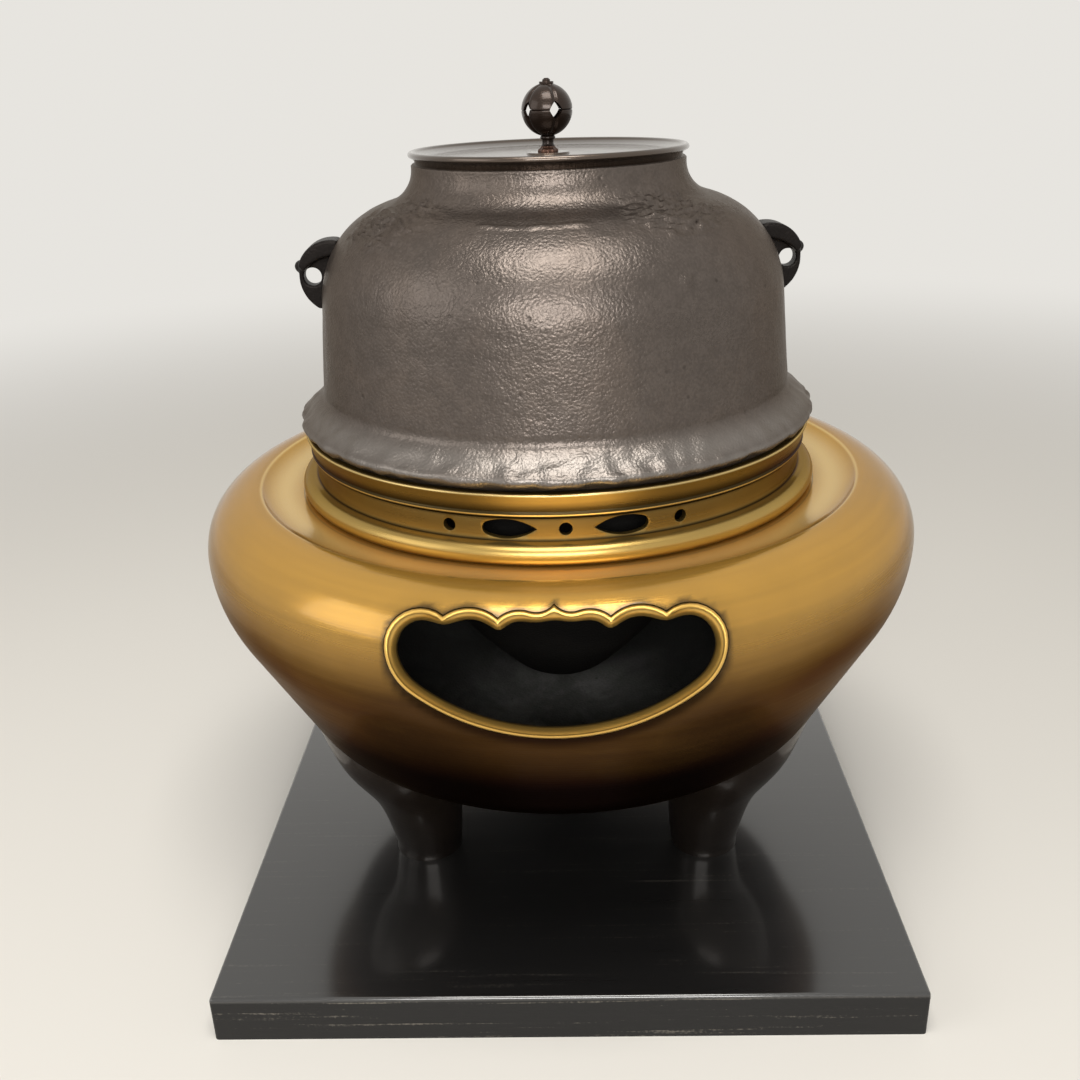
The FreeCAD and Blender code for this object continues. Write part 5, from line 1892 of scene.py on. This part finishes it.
@dataclass
class Board:
    """Square lacquered board, in millimetres."""

    finishes: Finishes
    side: float = 288.0
    thickness: float = 21.0
    edge_round: float = 1.5

    def build(self) -> None:
        """Build the board with its eased edges."""
        mesh = bmesh.new()
        middle = self.thickness / 2.0
        size = Matrix.Diagonal((self.side, self.side, self.thickness, 1.0))
        bmesh.ops.create_cube(mesh, size=1.0, matrix=Matrix.Translation((0.0, 0.0, middle)) @ size)
        eased = [edge for edge in mesh.edges if max(vertex.co.z for vertex in edge.verts) > middle]
        bmesh.ops.bevel(mesh, geom=eased, offset=self.edge_round, offset_type="OFFSET", segments=4,
                        profile=0.5, affect="EDGES", material=-1)
        item = raw_object("lacquer_board", mesh)
        seat_piece(item, Body.BOARD, ["board"], [self.finishes.lacquer], sharp=30.0)


@dataclass(frozen=True)
class Lamp:
    """One soft lamp: where it hangs in metres, its width and height, its power in watts and its colour."""

    name: str
    place: Triple
    size: Pair
    power: float
    colour: Colour

    def build(self, aim: Triple) -> None:
        """Hang the lamp, facing a point.

        Args:
            aim: the point.
        """
        data = bpy.data.lights.new(self.name, "AREA")
        data.energy = self.power
        data.shape = "RECTANGLE"
        data.size, data.size_y = self.size
        data.color = self.colour
        lamp = bpy.data.objects.new(self.name, data)
        lamp.location = self.place
        lamp.rotation_mode = "QUATERNION"
        lamp.rotation_quaternion = (Vector(aim) - Vector(self.place)).to_track_quat("-Z", "Y")
        bpy.context.scene.collection.objects.link(lamp)


@dataclass
class Studio:
    """Pale floor, soft lights and the camera at the photograph's angle, in metres."""

    focal: float = 1125.13
    picture: float = 1080.0
    sensor: float = 36.0
    clip_start: float = 0.01
    place: Triple = (0.007868, -0.486116, 0.361683)
    yaw: float = -0.034638
    pitch: float = 0.396644
    roll: float = -0.035511
    floor_colour: Colour = (0.72, 0.7, 0.66)
    floor_rough: float = 0.9
    floor_half: float = 30.0
    floor_fade: Pair = (0.45, 1.7)
    room_colour: Colour = (0.8, 0.78, 0.74)
    room_light: float = 0.42
    aim: Triple = (0.0, 0.0, 0.2)
    lamps: tuple[Lamp, ...] = (
        Lamp("ceiling_lamp", place=(0.03, -0.42, 1.4), size=(0.7, 0.6), power=12.0, colour=(1.0, 0.97, 0.92)),
        Lamp("left_window", place=(-1.4, -0.7, 0.9), size=(1.0, 1.0), power=5.0, colour=(1.0, 0.98, 0.95)),
        Lamp("front_fill", place=(0.0, -1.6, 0.8), size=(1.0, 0.5), power=18.0, colour=(1.0, 0.98, 0.95)))

    def build_camera(self) -> None:
        """Set the camera where the photograph was taken."""
        data = bpy.data.cameras.new("photo_camera")
        data.sensor_width = self.sensor
        data.lens = self.sensor * self.focal / self.picture
        data.clip_start = self.clip_start
        camera = bpy.data.objects.new("photo_camera", data)
        level = Vector((math.cos(self.yaw), -math.sin(self.yaw), 0.0))
        ahead = Vector((math.sin(self.yaw) * math.cos(self.pitch), math.cos(self.yaw) * math.cos(self.pitch),
                        -math.sin(self.pitch)))
        above = level.cross(ahead)
        right = level * math.cos(self.roll) + above * math.sin(self.roll)
        up = above * math.cos(self.roll) - level * math.sin(self.roll)
        turn = Matrix((right, up, -ahead)).transposed().to_4x4()
        camera.matrix_world = Matrix.Translation(self.place) @ turn
        bpy.context.scene.collection.objects.link(camera)
        bpy.context.scene.camera = camera

    def build_floor(self) -> None:
        """Build a plain pale floor that runs out into the pale room."""
        mesh = bmesh.new()
        bmesh.ops.create_grid(mesh, x_segments=1, y_segments=1, size=self.floor_half)
        data = bpy.data.meshes.new("studio_floor")
        mesh.to_mesh(data)
        mesh.free()
        floor = bpy.data.objects.new("studio_floor", data)
        bpy.context.scene.collection.objects.link(floor)
        material, graph, shader, place = new_finish("pale_floor")
        graph.feed(shader.inputs["Base Color"], self.floor_colour)
        shader.inputs["Roughness"].default_value = self.floor_rough
        away = graph.node("ShaderNodeVectorMath", {"operation": "LENGTH"}, Vector=place).outputs["Value"]
        glow = graph.node("ShaderNodeEmission", Color=self.room_colour, Strength=1.0)
        blend = graph.node("ShaderNodeMixShader", Fac=graph.ramp(away, *self.floor_fade))
        graph.feed(blend.inputs[1], shader.outputs[0])
        graph.feed(blend.inputs[2], glow.outputs[0])
        graph.feed(material.node_tree.nodes["Material Output"].inputs["Surface"], blend.outputs[0])
        data.materials.append(material)

    def build_world(self) -> None:
        """Light the scene from a soft pale room, which camera and glossy surfaces see as its plain colour."""
        world = bpy.data.worlds.new("soft_room")
        bpy.context.scene.world = world
        world.use_nodes = True
        graph = Graph(world.node_tree)
        rays = graph.node("ShaderNodeLightPath")
        seen = graph.plus(rays.outputs["Is Camera Ray"], rays.outputs["Is Glossy Ray"])
        seen = graph.plus(seen, rays.outputs["Is Transmission Ray"], clamp=True)
        back = world.node_tree.nodes["Background"]
        graph.feed(back.inputs["Color"], self.room_colour)
        graph.feed(back.inputs["Strength"], graph.ramp(seen, 0.0, 1.0, self.room_light, 1.0))

    def build(self) -> None:
        """Build the whole studio."""
        self.build_camera()
        self.build_floor()
        self.build_world()
        for lamp in self.lamps:
            lamp.build(self.aim)
        bpy.context.scene.view_settings.view_transform = "Standard"


def main() -> None:
    """Build the object from the board up and set the studio round it."""
    logging.basicConfig(level=logging.INFO, format="%(message)s")
    finishes = Finishes()
    Board(finishes).build()
    Brazier(finishes).build()
    kettle = Kettle(finishes)
    kettle.build()
    Lid(finishes, kettle.floor + kettle.mouth_height()).build()
    Studio().build()


if __name__ == "__main__":
    main()
